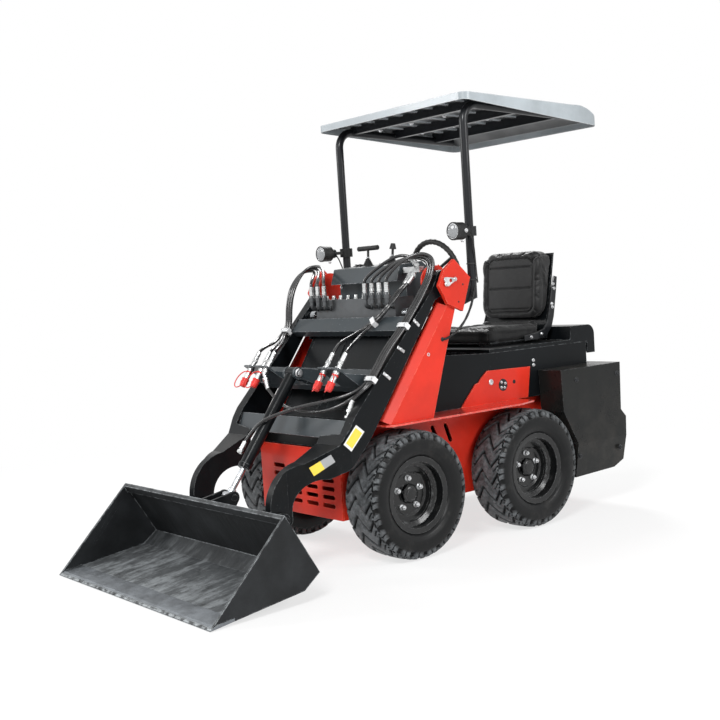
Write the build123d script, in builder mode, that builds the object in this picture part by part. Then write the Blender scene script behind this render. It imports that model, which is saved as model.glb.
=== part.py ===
from build123d import *
import math
import os

# Ride-on skid steer loader. Millimetres, +Z up, +X to the machine's left, the bucket towards -Y.
# The origin is on the ground, in the middle of the overall length. Every y below is measured from
# the middle of the wheelbase, and the planes side(), plan() and front() carry it into the model's frame.

# ---------------------------------------------------------------- driving dimensions
lip_reach = 1587.0        # bucket lip, ahead of the middle of the wheelbase
tail_reach = 1100.0       # counterweight, behind the middle of the wheelbase
wheelbase = 778.0
tyre_radius = 290.0
tyre_width = 205.0
track = 839.0             # between the middles of the two tyres of an axle
rim_radius = 152.0        # bead seat
flange_radius = 173.0
clearance = 0.3           # between pieces that seat on each other
running = 0.05            # radial, a pin or shaft in its bore
plate = 8.0               # body and chassis sheet

chassis_half = 307.0
chassis_bottom = 200.0
chassis_front = -672.0
chassis_rear = 698.0
chassis_top = 611.0
grille_top = 515.0

upright_outer = 480.0     # outer face of the uprights
upright_inner = 392.0     # outer face of the inner head plates
head_plate = 18.0
fender_top = 619.0
fender_outer = 510.0

pivot_y = -120.0          # boom pivot
pivot_z = 1229.0
pivot_pin_r = 19.0

arm_outer = 462.0
arm_width = 54.0
arm_end_x = 311.0         # middle of an arm's lower end
arm_end_width = 40.0
arm_end_r = 50.0

bucket_pin_y = -1010.0
bucket_pin_z = 270.0
bucket_pin_r = 15.0
tilt_top_y = -669.0       # tilt cylinder's pins
tilt_top_z = 853.0
tilt_low_y = -1060.0
tilt_low_z = 345.0
tilt_pin_r = 14.0

lift_x = 350.0            # lift cylinders' pins
lift_base_y = -262.0
lift_base_z = 660.0
lift_eye_y = -255.0
lift_eye_z = 1095.0
lift_pin_r = 13.0

bucket_width = 1313.0
bucket_sheet = 8.0
bucket_side = 10.0
edge_thick = 12.0
edge_depth = 110.0

post_x = 463.0
post_y = 57.0
post_r = 20.0
canopy_front_y = -14.0
canopy_rear_y = 956.0
canopy_front_half = 548.0
canopy_rear_half = 524.0

body_half = 345.0         # side panels and seat platform
body_top = 862.0
tail_half = 500.0         # counterweight
tail_front = 602.0
tail_bottom = 189.0
tail_top = 748.0
tail_face = 1000.0        # counterweight's inner rear face

mid_y = (lip_reach - tail_reach) / 2
axle_ys = {"front": -wheelbase / 2, "rear": wheelbase / 2}
arm_inner = arm_outer - arm_width
arm_mid = arm_outer - arm_width / 2


def side(x):
    """Plane across the machine at x: sketch (y, z), extrude towards +X."""
    return Plane(origin=(x, mid_y, 0), x_dir=(0, 1, 0), z_dir=(1, 0, 0))


def plan(z):
    """Level plane at z: sketch (x, y), extrude upwards."""
    return Plane(origin=(0, mid_y, z), x_dir=(1, 0, 0), z_dir=(0, 0, 1))


def front(y):
    """Upright plane at y: sketch (x, z), extrude forwards."""
    return Plane(origin=(0, mid_y + y, 0), x_dir=(1, 0, 0), z_dir=(0, -1, 0))


def save(part, name):
    part.label = name
    export_step(part, f"parts/{name}.step")


os.makedirs("parts", exist_ok=True)


def unit(start, end):
    length = math.hypot(end[0] - start[0], end[1] - start[1])
    return ((end[0] - start[0]) / length, (end[1] - start[1]) / length)


# ---------------------------------------------------------------- wheels
bead_half = 78.0          # rim flange's inner face, from the wheel's middle
rim_wall = 5.0
shaft_r = 22.0
hub_face = 10.0           # disc's outer face, from the wheel's middle
motor_gap = 6.0           # between the turning hub and the drive motor's casing
wheel_x = track / 2
tyre_half = tyre_width / 2
shaft_end = chassis_half - wheel_x + 6.0
motor_end = -40.0 - motor_gap

for axle, axle_y in axle_ys.items():
    for hand, sign in (("left", 1), ("right", -1)):
        hub_plane = Plane(
            origin=(sign * wheel_x, mid_y + axle_y, tyre_radius), x_dir=(sign, 0, 0), z_dir=(0, -sign, 0)
        )
        spin = Axis(hub_plane.origin, (1, 0, 0))

        with BuildPart() as tyre:
            with BuildSketch(hub_plane):
                with BuildLine():
                    bore = rim_radius + clearance
                    wall_foot = (bead_half - clearance, flange_radius + 2)
                    bulge = (tyre_half, flange_radius + 48)
                    shoulder = (tyre_half - 5, tyre_radius - 30)
                    crown = (tyre_half - 22, tyre_radius - 4)
                    Polyline((0, bore), (bead_half - clearance, bore), wall_foot, (tyre_half - 14, flange_radius + 5))
                    ThreePointArc((tyre_half - 14, flange_radius + 5), bulge, shoulder)
                    ThreePointArc(shoulder, (tyre_half - 10, tyre_radius - 11), crown)
                    ThreePointArc(crown, (crown[0] / 2, tyre_radius - 1), (0, tyre_radius))
                    Line((0, tyre_radius), (0, bore))
                make_face()
                mirror(about=Plane.YZ)
            revolve(axis=spin)
        save(tyre.part, f"tyre_{axle}_{hand}")

        with BuildPart() as rim:
            with BuildSketch(hub_plane):
                well = rim_radius - 22
                Polygon(
                    # tyre side, outboard flange to inboard flange
                    (bead_half + 6, flange_radius), (bead_half, flange_radius), (bead_half, rim_radius),
                    (42, rim_radius - 1.5), (32, well), (-32, well), (-42, rim_radius - 1.5),
                    (-bead_half, rim_radius), (-bead_half, flange_radius), (-bead_half - 6, flange_radius),
                    # hub side, back to the disc, the hub and the drive shaft
                    (-bead_half - 6, flange_radius - 5), (-bead_half - 3, rim_radius - rim_wall),
                    (-39, rim_radius - rim_wall - 1.5), (-29, well - rim_wall), (0, well - rim_wall),
                    (0, 62), (-40, 58), (-40, shaft_r), (shaft_end, shaft_r), (shaft_end, 0),
                    # outer face, cap to flange
                    (hub_face + 24, 0), (hub_face + 24, 36), (hub_face + 18, 43), (hub_face, 46),
                    (hub_face, 92), (hub_face + 6, 100), (hub_face + 6, well - rim_wall),
                    (29, well - rim_wall), (39, rim_radius - rim_wall - 1.5),
                    (bead_half + 3, rim_radius - rim_wall), (bead_half + 6, flange_radius - 5)
                )
            revolve(axis=spin)
        save(rim.part, f"rim_{axle}_{hand}")

with BuildPart() as drive_motors:
    for axle_y in axle_ys.values():
        for sign in (1, -1):
            hub_plane = Plane(
                origin=(sign * wheel_x, mid_y + axle_y, tyre_radius), x_dir=(sign, 0, 0), z_dir=(0, -sign, 0)
            )
            with BuildSketch(hub_plane):
                root = chassis_half - wheel_x
                Polygon(
                    (root, 0), (root, 78), (root + 14, 78), (root + 18, 56), (motor_end, 50),
                    (motor_end, shaft_r + running), (shaft_end - 2, shaft_r + running), (shaft_end - 2, 0)
                )
            revolve(axis=Axis(hub_plane.origin, (1, 0, 0)))
save(drive_motors.part, "drive_motors")

# ---------------------------------------------------------------- chassis
tub_inner = chassis_half - plate
tub_outline = [
    (chassis_front + plate, chassis_bottom), (chassis_rear, chassis_bottom), (chassis_rear, 300),
    (tail_face, 300), (tail_face, chassis_top), (chassis_front + 112, chassis_top),
    (chassis_front + plate, grille_top - 6),
]
slot_places = [(-8, 507, 21), (-92, 507, 21)]     # y, z and lean of the slots between the wheels

with BuildPart() as chassis_tub:
    with BuildSketch(side(-chassis_half)):
        Polygon(*tub_outline)
    extrude(amount=2 * chassis_half)
    with BuildSketch(side(-tub_inner)):
        Polygon(
            (chassis_front - plate, chassis_bottom + plate), (chassis_rear - plate, chassis_bottom + plate),
            (chassis_rear - plate, 300 + plate), (tail_face - plate, 300 + plate),
            (tail_face - plate, chassis_top + plate), (chassis_front - plate, chassis_top + plate)
        )
    extrude(amount=2 * tub_inner, mode=Mode.SUBTRACT)
    with BuildSketch(side(-chassis_half)):
        for slot_y, slot_z, lean in slot_places:
            with Locations((slot_y, slot_z)):
                SlotOverall(100, 24, rotation=-90 + lean)
    extrude(amount=2 * chassis_half, mode=Mode.SUBTRACT)
save(chassis_tub.part, "chassis_tub")

slot_columns = 4
slot_rows = 5
slot_pitch_x = 124.0
slot_pitch_z = 38.5
with BuildPart() as front_grille:
    with BuildSketch(front(chassis_front + plate)):
        Polygon(
            (-chassis_half, chassis_bottom), (chassis_half, chassis_bottom),
            (chassis_half, grille_top), (-chassis_half, grille_top)
        )
        with Locations((26, 336)):
            with GridLocations(slot_pitch_x, slot_pitch_z, slot_columns, slot_rows):
                SlotOverall(92, 20, mode=Mode.SUBTRACT)
    extrude(amount=plate)
save(front_grille.part, "front_grille")

with BuildPart() as fenders:
    for sign in (1, -1):
        with BuildSketch(plan(fender_top - plate)):
            Polygon(
                (sign * chassis_half, -540), (sign * (fender_outer - 24), -540), (sign * fender_outer, -516),
                (sign * fender_outer, 300), (sign * 470, 430), (sign * 440, 440), (sign * chassis_half, 440)
            )
        extrude(amount=plate)
save(fenders.part, "fenders")

# ---------------------------------------------------------------- uprights
head_rear = [(4, 1236), (-46, 1104)]    # rear edge of the upright's head
web_outline = [
    (-508, fender_top), (-130, 1115), (-168, 1200), (-152, 1266), (-84, 1306), *head_rear,
    (-80, 1102), (-153, 907), (-226, 695), (-252, fender_top),
]
channel_cut = [
    (-640, fender_top - 1), (-262, fender_top - 1), (-234, 695), (-161, 907), (-90, 1104), (-52, 1112),
    (-6, 1236), (-40, 1330), (-300, 1330), (-300, 1040),
]
flange_foot = (-508.0, 619.0)
flange_head = (-130.0, 1115.0)
flange_dir = unit(flange_foot, flange_head)
flange_length = math.dist(flange_foot, flange_head)

with BuildPart() as uprights:
    for sign in (1, -1):
        inner_face = upright_inner - plate
        with BuildSketch(side(sign * inner_face)):
            Polygon(*web_outline)
        extrude(amount=sign * (upright_outer - inner_face))
        with BuildSketch(side(sign * upright_inner)):
            Polygon(*channel_cut)
        extrude(amount=sign * (upright_outer - plate - upright_inner), mode=Mode.SUBTRACT)
    for sign in (1, -1):
        flange_plane = Plane(
            origin=(0, mid_y + flange_foot[0], flange_foot[1]), x_dir=(1, 0, 0),
            z_dir=(0, flange_dir[0], flange_dir[1]),
        )
        with BuildSketch(flange_plane):
            Polygon(
                (sign * upright_outer, 0), (sign * 440, -32), (sign * 435, -25.8), (sign * 472, 3.8),
                (sign * 472, 12), (sign * upright_outer, 12)
            )
        extrude(amount=flange_length)
        with BuildSketch(side(sign * inner_face)):
            with Locations((pivot_y, pivot_z)):
                Circle(76)
        extrude(amount=sign * plate)
        with BuildSketch(side(sign * inner_face)):
            with Locations((lift_base_y, lift_base_z)):
                Circle(lift_pin_r)
        extrude(amount=-sign * (inner_face - lift_x + 30))
    split(bisect_by=Plane(origin=(0, 0, fender_top), z_dir=(0, 0, 1)), keep=Keep.TOP)
save(uprights.part, "uprights")

head_outline = [(-86, 1325), (10, 1239), (-48, 1086), (-140, 1124), (-189, 1208), (-152, 1278)]
with BuildPart() as head_plates:
    for sign in (1, -1):
        with BuildSketch(side(sign * upright_outer)):
            Polygon(*head_outline)
        extrude(amount=sign * head_plate)
save(head_plates.part, "head_plates")

lock_outline = [(-168, 1247), (-69, 1238), (-141, 1201)]
with BuildPart() as pivot_pins:
    for sign in (1, -1):
        with BuildSketch(side(sign * (upright_inner + clearance))):
            with Locations((pivot_y, pivot_z)):
                Circle(pivot_pin_r)
        extrude(amount=sign * (upright_outer - plate - upright_inner - 2 * clearance))
    for sign in (1, -1):
        with BuildSketch(side(sign * (upright_outer + head_plate))):
            with BuildLine():
                FilletPolyline(*lock_outline, radius=9, close=True)
            make_face()
            with Locations((pivot_y, pivot_z)):
                Circle(9, mode=Mode.SUBTRACT)
        extrude(amount=sign * 7)
save(pivot_pins.part, "pivot_pins")

# ---------------------------------------------------------------- boom
pivot_boss_r = 52.0
arm_front = [(-158, 1264), (-200, 1192), (-690, 676), (-765, 560), (-901, 498)]
arm_rear = [(-811, 420), (-735, 448), (-700, 478), (-604, 577), (-185, 1146), (-95, 1184)]
arm_bend_front = ((-901, 498), (-1030, 425), (-1066, 300))
arm_bend_rear = ((-960, 285), (-925, 385), (-811, 420))
arm_half = arm_end_width / 2
arm_plan = [
    (arm_outer, 0), (arm_outer, -720), (arm_end_x + arm_half, bucket_pin_y + 36),
    (arm_end_x + arm_half, bucket_pin_y - 90), (arm_end_x - arm_half, bucket_pin_y - 90),
    (arm_end_x - arm_half, bucket_pin_y + 36), (275, -745), (arm_inner, -735), (arm_inner, 0),
]

with BuildPart() as boom_arms:
    for sign in (1, -1):
        with BuildSketch(side(sign * 250)):
            with BuildLine():
                Polyline(*arm_front)
                ThreePointArc(*arm_bend_front)
                Line(arm_bend_front[2], arm_bend_rear[0])
                ThreePointArc(*arm_bend_rear)
                Polyline(*arm_rear)
                Line(arm_rear[-1], arm_front[0])
            make_face()
            with Locations((pivot_y, pivot_z)):
                Circle(pivot_boss_r)
            with Locations((bucket_pin_y, bucket_pin_z)):
                Circle(arm_end_r)
        extrude(amount=sign * 250)
    with BuildSketch(plan(0)):
        for sign in (1, -1):
            Polygon(*[(sign * x, y) for x, y in arm_plan])
    extrude(amount=1500, mode=Mode.INTERSECT)
    for pin_y, pin_z, pin_r in ((pivot_y, pivot_z, pivot_pin_r), (bucket_pin_y, bucket_pin_z, bucket_pin_r)):
        with BuildSketch(side(-500)):
            with Locations((pin_y, pin_z)):
                Circle(pin_r + running)
        extrude(amount=1000, mode=Mode.SUBTRACT)
    for sign in (1, -1):
        with BuildSketch(side(sign * arm_inner)):
            with Locations((lift_eye_y, lift_eye_z)):
                Circle(lift_pin_r + 8)
        extrude(amount=-sign * 20)
        with BuildSketch(side(sign * (arm_inner - 20))):
            with Locations((lift_eye_y, lift_eye_z)):
                Circle(lift_pin_r)
        extrude(amount=-sign * 16)
save(boom_arms.part, "boom_arms")

beam_depth = 40.0
beam_faces = [((-372, 1021), (-322, 1082)), ((-580, 789), (-512, 859))]   # lower and upper front edges
knee_face = ((-727, 578), (-693, 656))
lug_inner = 32.0
lug_thick = 12.0

coupler_top = (-662.0, 906.0)        # where a hose ends in its coupler
coupler_dir = unit(coupler_top, (-748.0, 789.0))
neck_r = 12.0
coupler_xs = [268.0, 357.0, -222.0, -314.0]
union_x = -185.0
bracket_table = [(240.0, 386.0, coupler_xs[:2]), (-345.0, -155.0, [*coupler_xs[2:], union_x])]


def on_coupler(s, q):
    """Point s down a coupler's axis and q ahead of it, as (y, z)."""
    return (
        coupler_top[0] + coupler_dir[0] * s + coupler_dir[1] * q,
        coupler_top[1] + coupler_dir[1] * s - coupler_dir[0] * q,
    )


def across_coupler(s):
    """Plane across the couplers, s down their axes: sketch (x, q)."""
    y, z = on_coupler(s, 0)
    return Plane(origin=(0, mid_y + y, z), x_dir=(1, 0, 0), z_dir=(0, *coupler_dir))

with BuildPart() as boom_crossmembers:
    for lower, upper in beam_faces:
        slope = unit(lower, upper)
        with BuildSketch(side(-arm_inner)):
            Polygon(
                lower, upper, (upper[0] + slope[1] * beam_depth, upper[1] - slope[0] * beam_depth),
                (lower[0] + slope[1] * beam_depth, lower[1] - slope[0] * beam_depth)
            )
        extrude(amount=2 * arm_inner)
    with BuildSketch(side(-arm_inner)):
        Polygon(
            knee_face[0], knee_face[1], (knee_face[1][0] + 10, knee_face[1][1] - 4),
            (knee_face[0][0] + 10, knee_face[0][1] - 4)
        )
    extrude(amount=2 * arm_inner)
    for sign in (1, -1):
        with BuildSketch(side(sign * lug_inner)):
            Polygon((-512, 859), (-580, 789), (-560, 770), (-500, 850))
            Polygon((-575, 794), (-658, 827), (-680, 879), (-518, 853))
            with Locations((tilt_top_y, tilt_top_z)):
                Circle(28)
        extrude(amount=sign * lug_thick)
    with BuildSketch(side(-lug_inner - lug_thick - 6)):
        with Locations((tilt_top_y, tilt_top_z)):
            Circle(tilt_pin_r)
    extrude(amount=2 * (lug_inner + lug_thick + 6))
    for plate_from, plate_to, hole_xs in bracket_table:
        with BuildSketch(side(plate_from)):
            Polygon(*[on_coupler(s, q) for s, q in ((40, 24), (48, 24), (48, -140), (40, -140))])
        extrude(amount=plate_to - plate_from)
        for gusset_x in (plate_from, plate_to - 8):
            with BuildSketch(side(gusset_x)):
                Polygon(on_coupler(44, -20), on_coupler(44, -125), (-574, 790), (-528, 838))
            extrude(amount=8)
        with BuildSketch(across_coupler(30)):
            for x in hole_xs:
                with Locations((x, 0)):
                    Circle(neck_r + clearance)
        extrude(amount=30, mode=Mode.SUBTRACT)
save(boom_crossmembers.part, "boom_crossmembers")

# ---------------------------------------------------------------- cylinders
# name, middle x, base pin, rod eye, base bore, tube radius, rod radius, eye radius, half width of an eye,
# gland's outer end and piston's middle along the cylinder from the base pin, port blocks' offset in x and foot
cylinder_table = [
    ("lift_{}_left", lift_x, (lift_base_y, lift_base_z), (lift_eye_y, lift_eye_z), lift_pin_r, 26.0, 12.5, 24.0,
     18.0, 386.0, 90.0, 0.0, 22.0),
    ("lift_{}_right", -lift_x, (lift_base_y, lift_base_z), (lift_eye_y, lift_eye_z), lift_pin_r, 26.0, 12.5, 24.0,
     18.0, 386.0, 90.0, 0.0, 22.0),
    ("tilt_{}", 0.0, (tilt_top_y, tilt_top_z), (tilt_low_y, tilt_low_z), tilt_pin_r, 27.0, 13.0, 24.0,
     28.0, 500.0, 330.0, -30.0, 14.0),
]
bore_wall = 6.0
gland_length = 22.0
port_top = 50.0           # port block's outer face, from the cylinder's axis
port_out = 38.0           # fitting on it, from the cylinder's axis
port_r = 9.0
port_neck = 20.0

for row in cylinder_table:
    name, x, base, eye, pin_r, tube_r, rod_r, eye_r, eye_half, gland_end, piston_at, port_x, port_foot = row
    way = unit(base, eye)
    reach = math.dist(base, eye)
    bore_r = tube_r - bore_wall

    def across(at):
        """Plane across the cylinder, that far from the base pin."""
        return Plane(
            origin=(x, mid_y + base[0] + way[0] * at, base[1] + way[1] * at), x_dir=(1, 0, 0),
            z_dir=(0, way[0], way[1]),
        )

    with BuildPart() as barrel:
        with BuildSketch(across(eye_r - 6)):
            Circle(tube_r)
        extrude(amount=gland_end - eye_r + 6)
        with BuildSketch(across(gland_end - gland_length)):
            Circle(tube_r + 3)
        extrude(amount=gland_length - 6)
        for port_at in (eye_r + 44, gland_end - 48):
            with BuildSketch(across(port_at)):
                with Locations((port_x, -(port_foot + port_top) / 2)):
                    Rectangle(24, port_top - port_foot)
            extrude(amount=28)
            with BuildSketch(across(port_at - port_neck)):
                with Locations((port_x, -port_out)):
                    Circle(port_r)
            extrude(amount=port_neck)
        with BuildSketch(across(eye_r + 18)):
            Circle(bore_r)
        extrude(amount=gland_end - gland_length - eye_r - 18, mode=Mode.SUBTRACT)
        with BuildSketch(across(gland_end - gland_length - 1)):
            Circle(rod_r + running)
        extrude(amount=gland_length + 2, mode=Mode.SUBTRACT)
        with BuildSketch(side(x - eye_half)):
            with Locations(base):
                Circle(eye_r + 2)
        extrude(amount=2 * eye_half)
        with BuildSketch(side(x - eye_half - 20)):
            with Locations(base):
                Circle(pin_r + running)
        extrude(amount=2 * eye_half + 40, mode=Mode.SUBTRACT)
    save(barrel.part, name.format("barrel"))

    with BuildPart() as rod:
        with BuildSketch(across(piston_at - 10)):
            Circle(bore_r - running)
        extrude(amount=20)
        with BuildSketch(across(piston_at)):
            Circle(rod_r)
        extrude(amount=reach - eye_r + 4 - piston_at)
        with BuildSketch(across(reach - eye_r - 14)):
            Circle(rod_r + 5)
        extrude(amount=18)
        with BuildSketch(side(x - eye_half + 2)):
            with Locations(eye):
                Circle(eye_r)
        extrude(amount=2 * eye_half - 4)
        with BuildSketch(side(x - eye_half - 20)):
            with Locations(eye):
                Circle(pin_r + running)
        extrude(amount=2 * eye_half + 40, mode=Mode.SUBTRACT)
    save(rod.part, name.format("rod"))

# ---------------------------------------------------------------- bucket
lip = (-lip_reach, 3.0)
heel_front = (-1151.0, 57.0)
heel_back = (-1072.0, 116.0)
top_edge = (-1221.0, 369.0)
floor_dir = unit(lip, heel_front)
back_dir = unit(heel_back, top_edge)
bucket_half = bucket_width / 2
attach_half = 330.0
attach_thick = 12.0
ear_places = [(275.0, 287.0), (335.0, 347.0)]
tilt_ear = (lug_inner, lug_inner + lug_thick)


def on_back(t, n):
    """Point t up the bucket's back from its heel and n behind it, as (y, z)."""
    return (heel_back[0] + back_dir[0] * t + back_dir[1] * n, heel_back[1] + back_dir[1] * t - back_dir[0] * n)


def on_floor(t, n):
    """Point t behind the lip along the floor's underside and n above it, as (y, z)."""
    return (lip[0] + floor_dir[0] * t - floor_dir[1] * n, lip[1] + floor_dir[1] * t + floor_dir[0] * n)


edge_outline = [on_floor(0, 0), on_floor(edge_depth, 0), on_floor(edge_depth, edge_thick), on_floor(24, edge_thick)]

with BuildPart() as bucket:
    with BuildSketch(side(-bucket_half)):
        Polygon(lip, heel_front, heel_back, top_edge)
    extrude(amount=bucket_width)
    with BuildSketch(side(-bucket_half + bucket_side)):
        Polygon(
            (lip[0] - 400 * floor_dir[0], lip[1] - 400 * floor_dir[1]), heel_front, heel_back,
            (top_edge[0] + 400 * back_dir[0], top_edge[1] + 400 * back_dir[1])
        )
        offset(amount=-bucket_sheet)
    extrude(amount=bucket_width - 2 * bucket_side, mode=Mode.SUBTRACT)
    with BuildSketch(side(-bucket_half + bucket_side)):
        rise = math.dist(heel_back, top_edge)
        Polygon(on_back(rise, 0), on_back(rise - 40, 0), on_back(rise - 40, -18), on_back(rise - 4, -18))
    extrude(amount=bucket_width - 2 * bucket_side)
    with BuildSketch(side(-bucket_half)):
        Polygon(*edge_outline)
        offset(amount=clearance)
    extrude(amount=bucket_width, mode=Mode.SUBTRACT)
save(bucket.part, "bucket")

with BuildPart() as cutting_edge:
    with BuildSketch(side(-bucket_half)):
        Polygon(*edge_outline)
    extrude(amount=bucket_width)
save(cutting_edge.part, "cutting_edge")

with BuildPart() as attach_plate:
    with BuildSketch(side(-attach_half)):
        Polygon(
            on_back(20, clearance), on_back(270, clearance), on_back(270, clearance + attach_thick),
            on_back(20, clearance + attach_thick)
        )
    extrude(amount=2 * attach_half)
    for sign in (1, -1):
        for ear_from, ear_to in ear_places:
            with BuildSketch(side(sign * ear_from)):
                Polygon(
                    on_back(24, attach_thick), on_back(212, attach_thick), on_back(132, 148), on_back(74, 132)
                )
                with Locations((bucket_pin_y, bucket_pin_z)):
                    Circle(30)
            extrude(amount=sign * (ear_to - ear_from))
        with BuildSketch(side(sign * (ear_places[0][0] - 14))):
            with Locations((bucket_pin_y, bucket_pin_z)):
                Circle(bucket_pin_r)
        extrude(amount=sign * (ear_places[1][1] - ear_places[0][0] + 28))
        with BuildSketch(side(sign * tilt_ear[0])):
            Polygon(on_back(110, attach_thick), on_back(262, attach_thick), on_back(212, 146), on_back(166, 140))
            with Locations((tilt_low_y, tilt_low_z)):
                Circle(28)
        extrude(amount=sign * (tilt_ear[1] - tilt_ear[0]))
        with BuildSketch(side(sign * (tilt_ear[0] - 1))):
            with Locations((tilt_low_y, tilt_low_z)):
                Circle(tilt_pin_r)
        extrude(amount=sign * (tilt_ear[1] - tilt_ear[0] + 7))
save(attach_plate.part, "attach_plate")

# ---------------------------------------------------------------- body
cowl_half = 310.0
sheet = 6.0
cowl_top = 1062.0
well_front = -135.0       # side panels and foot-well start behind the lift cylinders
well_rear = 266.0         # foot-well ends at the seat platform's riser
panel_rear = tail_face - 10.0
console_back = -20.0
cowl_outline = [(-545, fender_top), (-262, cowl_top), (-140, cowl_top), (-140, fender_top)]
cowl_inside = [(-537, fender_top - 1), (-258, cowl_top - 6), (-146, cowl_top - 6), (-146, fender_top - 1)]
hinge_y = tail_face + 12.0
hinge_z = 812.0
hinge_pin_r = 8.0

with BuildPart() as front_cowl:
    with BuildSketch(side(-cowl_half)):
        Polygon(*cowl_outline)
    extrude(amount=2 * cowl_half)
    with BuildSketch(side(-cowl_half + sheet)):
        Polygon(*cowl_inside)
    extrude(amount=2 * (cowl_half - sheet), mode=Mode.SUBTRACT)
    cowl_dir = unit(cowl_outline[0], cowl_outline[1])
    cowl_face = Plane(
        origin=(0, mid_y + (cowl_outline[0][0] + cowl_outline[1][0]) / 2, (fender_top + cowl_top) / 2),
        x_dir=(1, 0, 0), z_dir=(0, -cowl_dir[1], cowl_dir[0]),
    )
    with BuildSketch(cowl_face):
        with Locations((-155, 90), (155, 90), (-155, -120), (155, -120)):
            RectangleRounded(250, 170, 14)
    extrude(amount=5)
    nose = (chassis_front + plate, grille_top - 6)
    nose_dir = unit(nose, (chassis_front + 112, chassis_top))
    with BuildSketch(side(-chassis_half)):
        Polygon(*[
            (nose[0] + nose_dir[0] * t - nose_dir[1] * n, nose[1] + nose_dir[1] * t + nose_dir[0] * n)
            for t, n in ((8, clearance), (172, clearance), (172, sheet), (8, sheet))
        ])
    extrude(amount=2 * chassis_half)
save(front_cowl.part, "front_cowl")

with BuildPart() as body_panels:
    with BuildSketch(plan(chassis_top)):
        with Locations((0, (well_rear + plate - 545) / 2)):
            Rectangle(2 * chassis_half - 1, well_rear + plate + 545)
    extrude(amount=plate)
    for sign in (1, -1):
        with BuildSketch(side(sign * body_half)):
            Polygon(
                (well_front, fender_top), (well_front, 884), (well_rear, body_top), (panel_rear, body_top),
                (panel_rear, fender_top)
            )
        extrude(amount=-sign * plate)
        with BuildSketch(plan(fender_top)):
            Polygon(
                (sign * body_half, well_front), (sign * body_half, panel_rear), (sign * tub_inner, panel_rear),
                (sign * tub_inner, well_front)
            )
        extrude(amount=plate)
    for wall_y in (well_rear, panel_rear - plate):
        with BuildSketch(front(wall_y + plate)):
            Polygon(
                (-body_half + 1, fender_top), (body_half - 1, fender_top), (body_half - 1, body_top),
                (-body_half + 1, body_top)
            )
        extrude(amount=plate)
    for sign in (1, -1):
        with BuildSketch(side(sign * 244)):
            Polygon((panel_rear - 2, 790), (panel_rear - 2, 850), (hinge_y + 4, 826), (hinge_y + 4, 800))
            with Locations((hinge_y, hinge_z)):
                Circle(15)
        extrude(amount=sign * 14)
        with BuildSketch(side(sign * 250)):
            with Locations((hinge_y, hinge_z)):
                Circle(hinge_pin_r)
        extrude(amount=sign * 28)
save(body_panels.part, "body_panels")

port_outline = [(48, 619), (150, 722), (172, 727), (195, 750), (235, 779), (540, 772), (515, 619)]
with BuildPart() as port_plates:
    for sign in (1, -1):
        with BuildSketch(side(sign * body_half)):
            Polygon(*port_outline)
        extrude(amount=sign * plate)
save(port_plates.part, "port_plates")

console_half = 250.0
console_outline = [
    (-222, 1243), (-198, 1318), (-60, 1330), (console_back, 1300), (console_back, cowl_top), (-165, cowl_top),
    (-165, 1243),
]
with BuildPart() as console:
    with BuildSketch(side(-console_half)):
        Polygon(*console_outline)
    extrude(amount=2 * console_half)
save(console.part, "console")

valve_half = 300.0
elbow_xs = [131, 183, 235, 287, -183, -235, -287]
valve_front = -286.0
valve_rear = -170.0
elbow_y = -320.0
elbow_z = 1130.0
elbow_r = 10.0
with BuildPart() as control_valve:
    with BuildSketch(plan(cowl_top)):
        with Locations((0, (valve_front + valve_rear) / 2)):
            Rectangle(2 * valve_half, valve_rear - valve_front)
    extrude(amount=108)
    for x in elbow_xs:
        with BuildLine() as bend:
            FilletPolyline(
                (x, mid_y + valve_front, elbow_z), (x, mid_y + elbow_y, elbow_z),
                (x, mid_y + elbow_y, elbow_z + 45), radius=20,
            )
        with BuildSketch(front(valve_front)):
            with Locations((x, elbow_z)):
                Circle(elbow_r)
        sweep(path=bend.wire())
        with BuildSketch(front(valve_front)):
            with Locations((x, elbow_z)):
                Circle(elbow_r + 3)
        extrude(amount=10)
        with BuildSketch(plan(elbow_z + 36)):
            with Locations((x, elbow_y)):
                Circle(elbow_r + 3)
        extrude(amount=30)
save(control_valve.part, "control_valve")

# ---------------------------------------------------------------- steering and levers
wheel_y = 262.0
wheel_z = 1264.0
grip_ring_r = 168.0
grip_r = 13.0
stub_r = 10.0
lean = math.radians(10)   # the column rises towards the seat
column_dir = (0, math.cos(lean), math.sin(lean))


def on_column(back):
    """Plane across the steering column, that far ahead of the wheel's middle."""
    return Plane(
        origin=(0, mid_y + wheel_y - back * column_dir[1], wheel_z - back * column_dir[2]),
        x_dir=(1, 0, 0), z_dir=column_dir,
    )


with BuildPart() as steering_column:
    with BuildSketch(on_column(300)):
        Circle(24)
    extrude(amount=300 - 62)
    with BuildSketch(on_column(128)):
        Circle(30)
    extrude(amount=128 - 62)
    with BuildSketch(on_column(110)):
        Circle(stub_r + running)
    extrude(amount=60, mode=Mode.SUBTRACT)
    split(bisect_by=Plane(origin=(0, mid_y + console_back, 0), z_dir=(0, 1, 0)), keep=Keep.TOP)
save(steering_column.part, "steering_column")

with BuildPart() as steering_wheel:
    middle = on_column(0).origin
    with BuildSketch(on_column(108)):
        Circle(stub_r)
    extrude(amount=70)
    with BuildSketch(on_column(56)):
        Circle(30)
    extrude(amount=40)
    with BuildSketch(Plane(origin=middle, x_dir=(1, 0, 0), z_dir=(0, -column_dir[2], column_dir[1]))):
        with Locations((grip_ring_r, 0)):
            Circle(grip_r)
    revolve(axis=Axis(middle, column_dir))
    for turn in (90, 210, 330):
        reach_x = math.cos(math.radians(turn))
        reach_z = math.sin(math.radians(turn))
        start = on_column(34).from_local_coords((20 * reach_x, 20 * reach_z, 0))
        end = on_column(0).from_local_coords(((grip_ring_r - 3) * reach_x, (grip_ring_r - 3) * reach_z, 0))
        with BuildSketch(Plane(origin=start, z_dir=end - start)):
            Circle(8)
        extrude(amount=(end - start).length)
save(steering_wheel.part, "steering_wheel")

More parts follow.
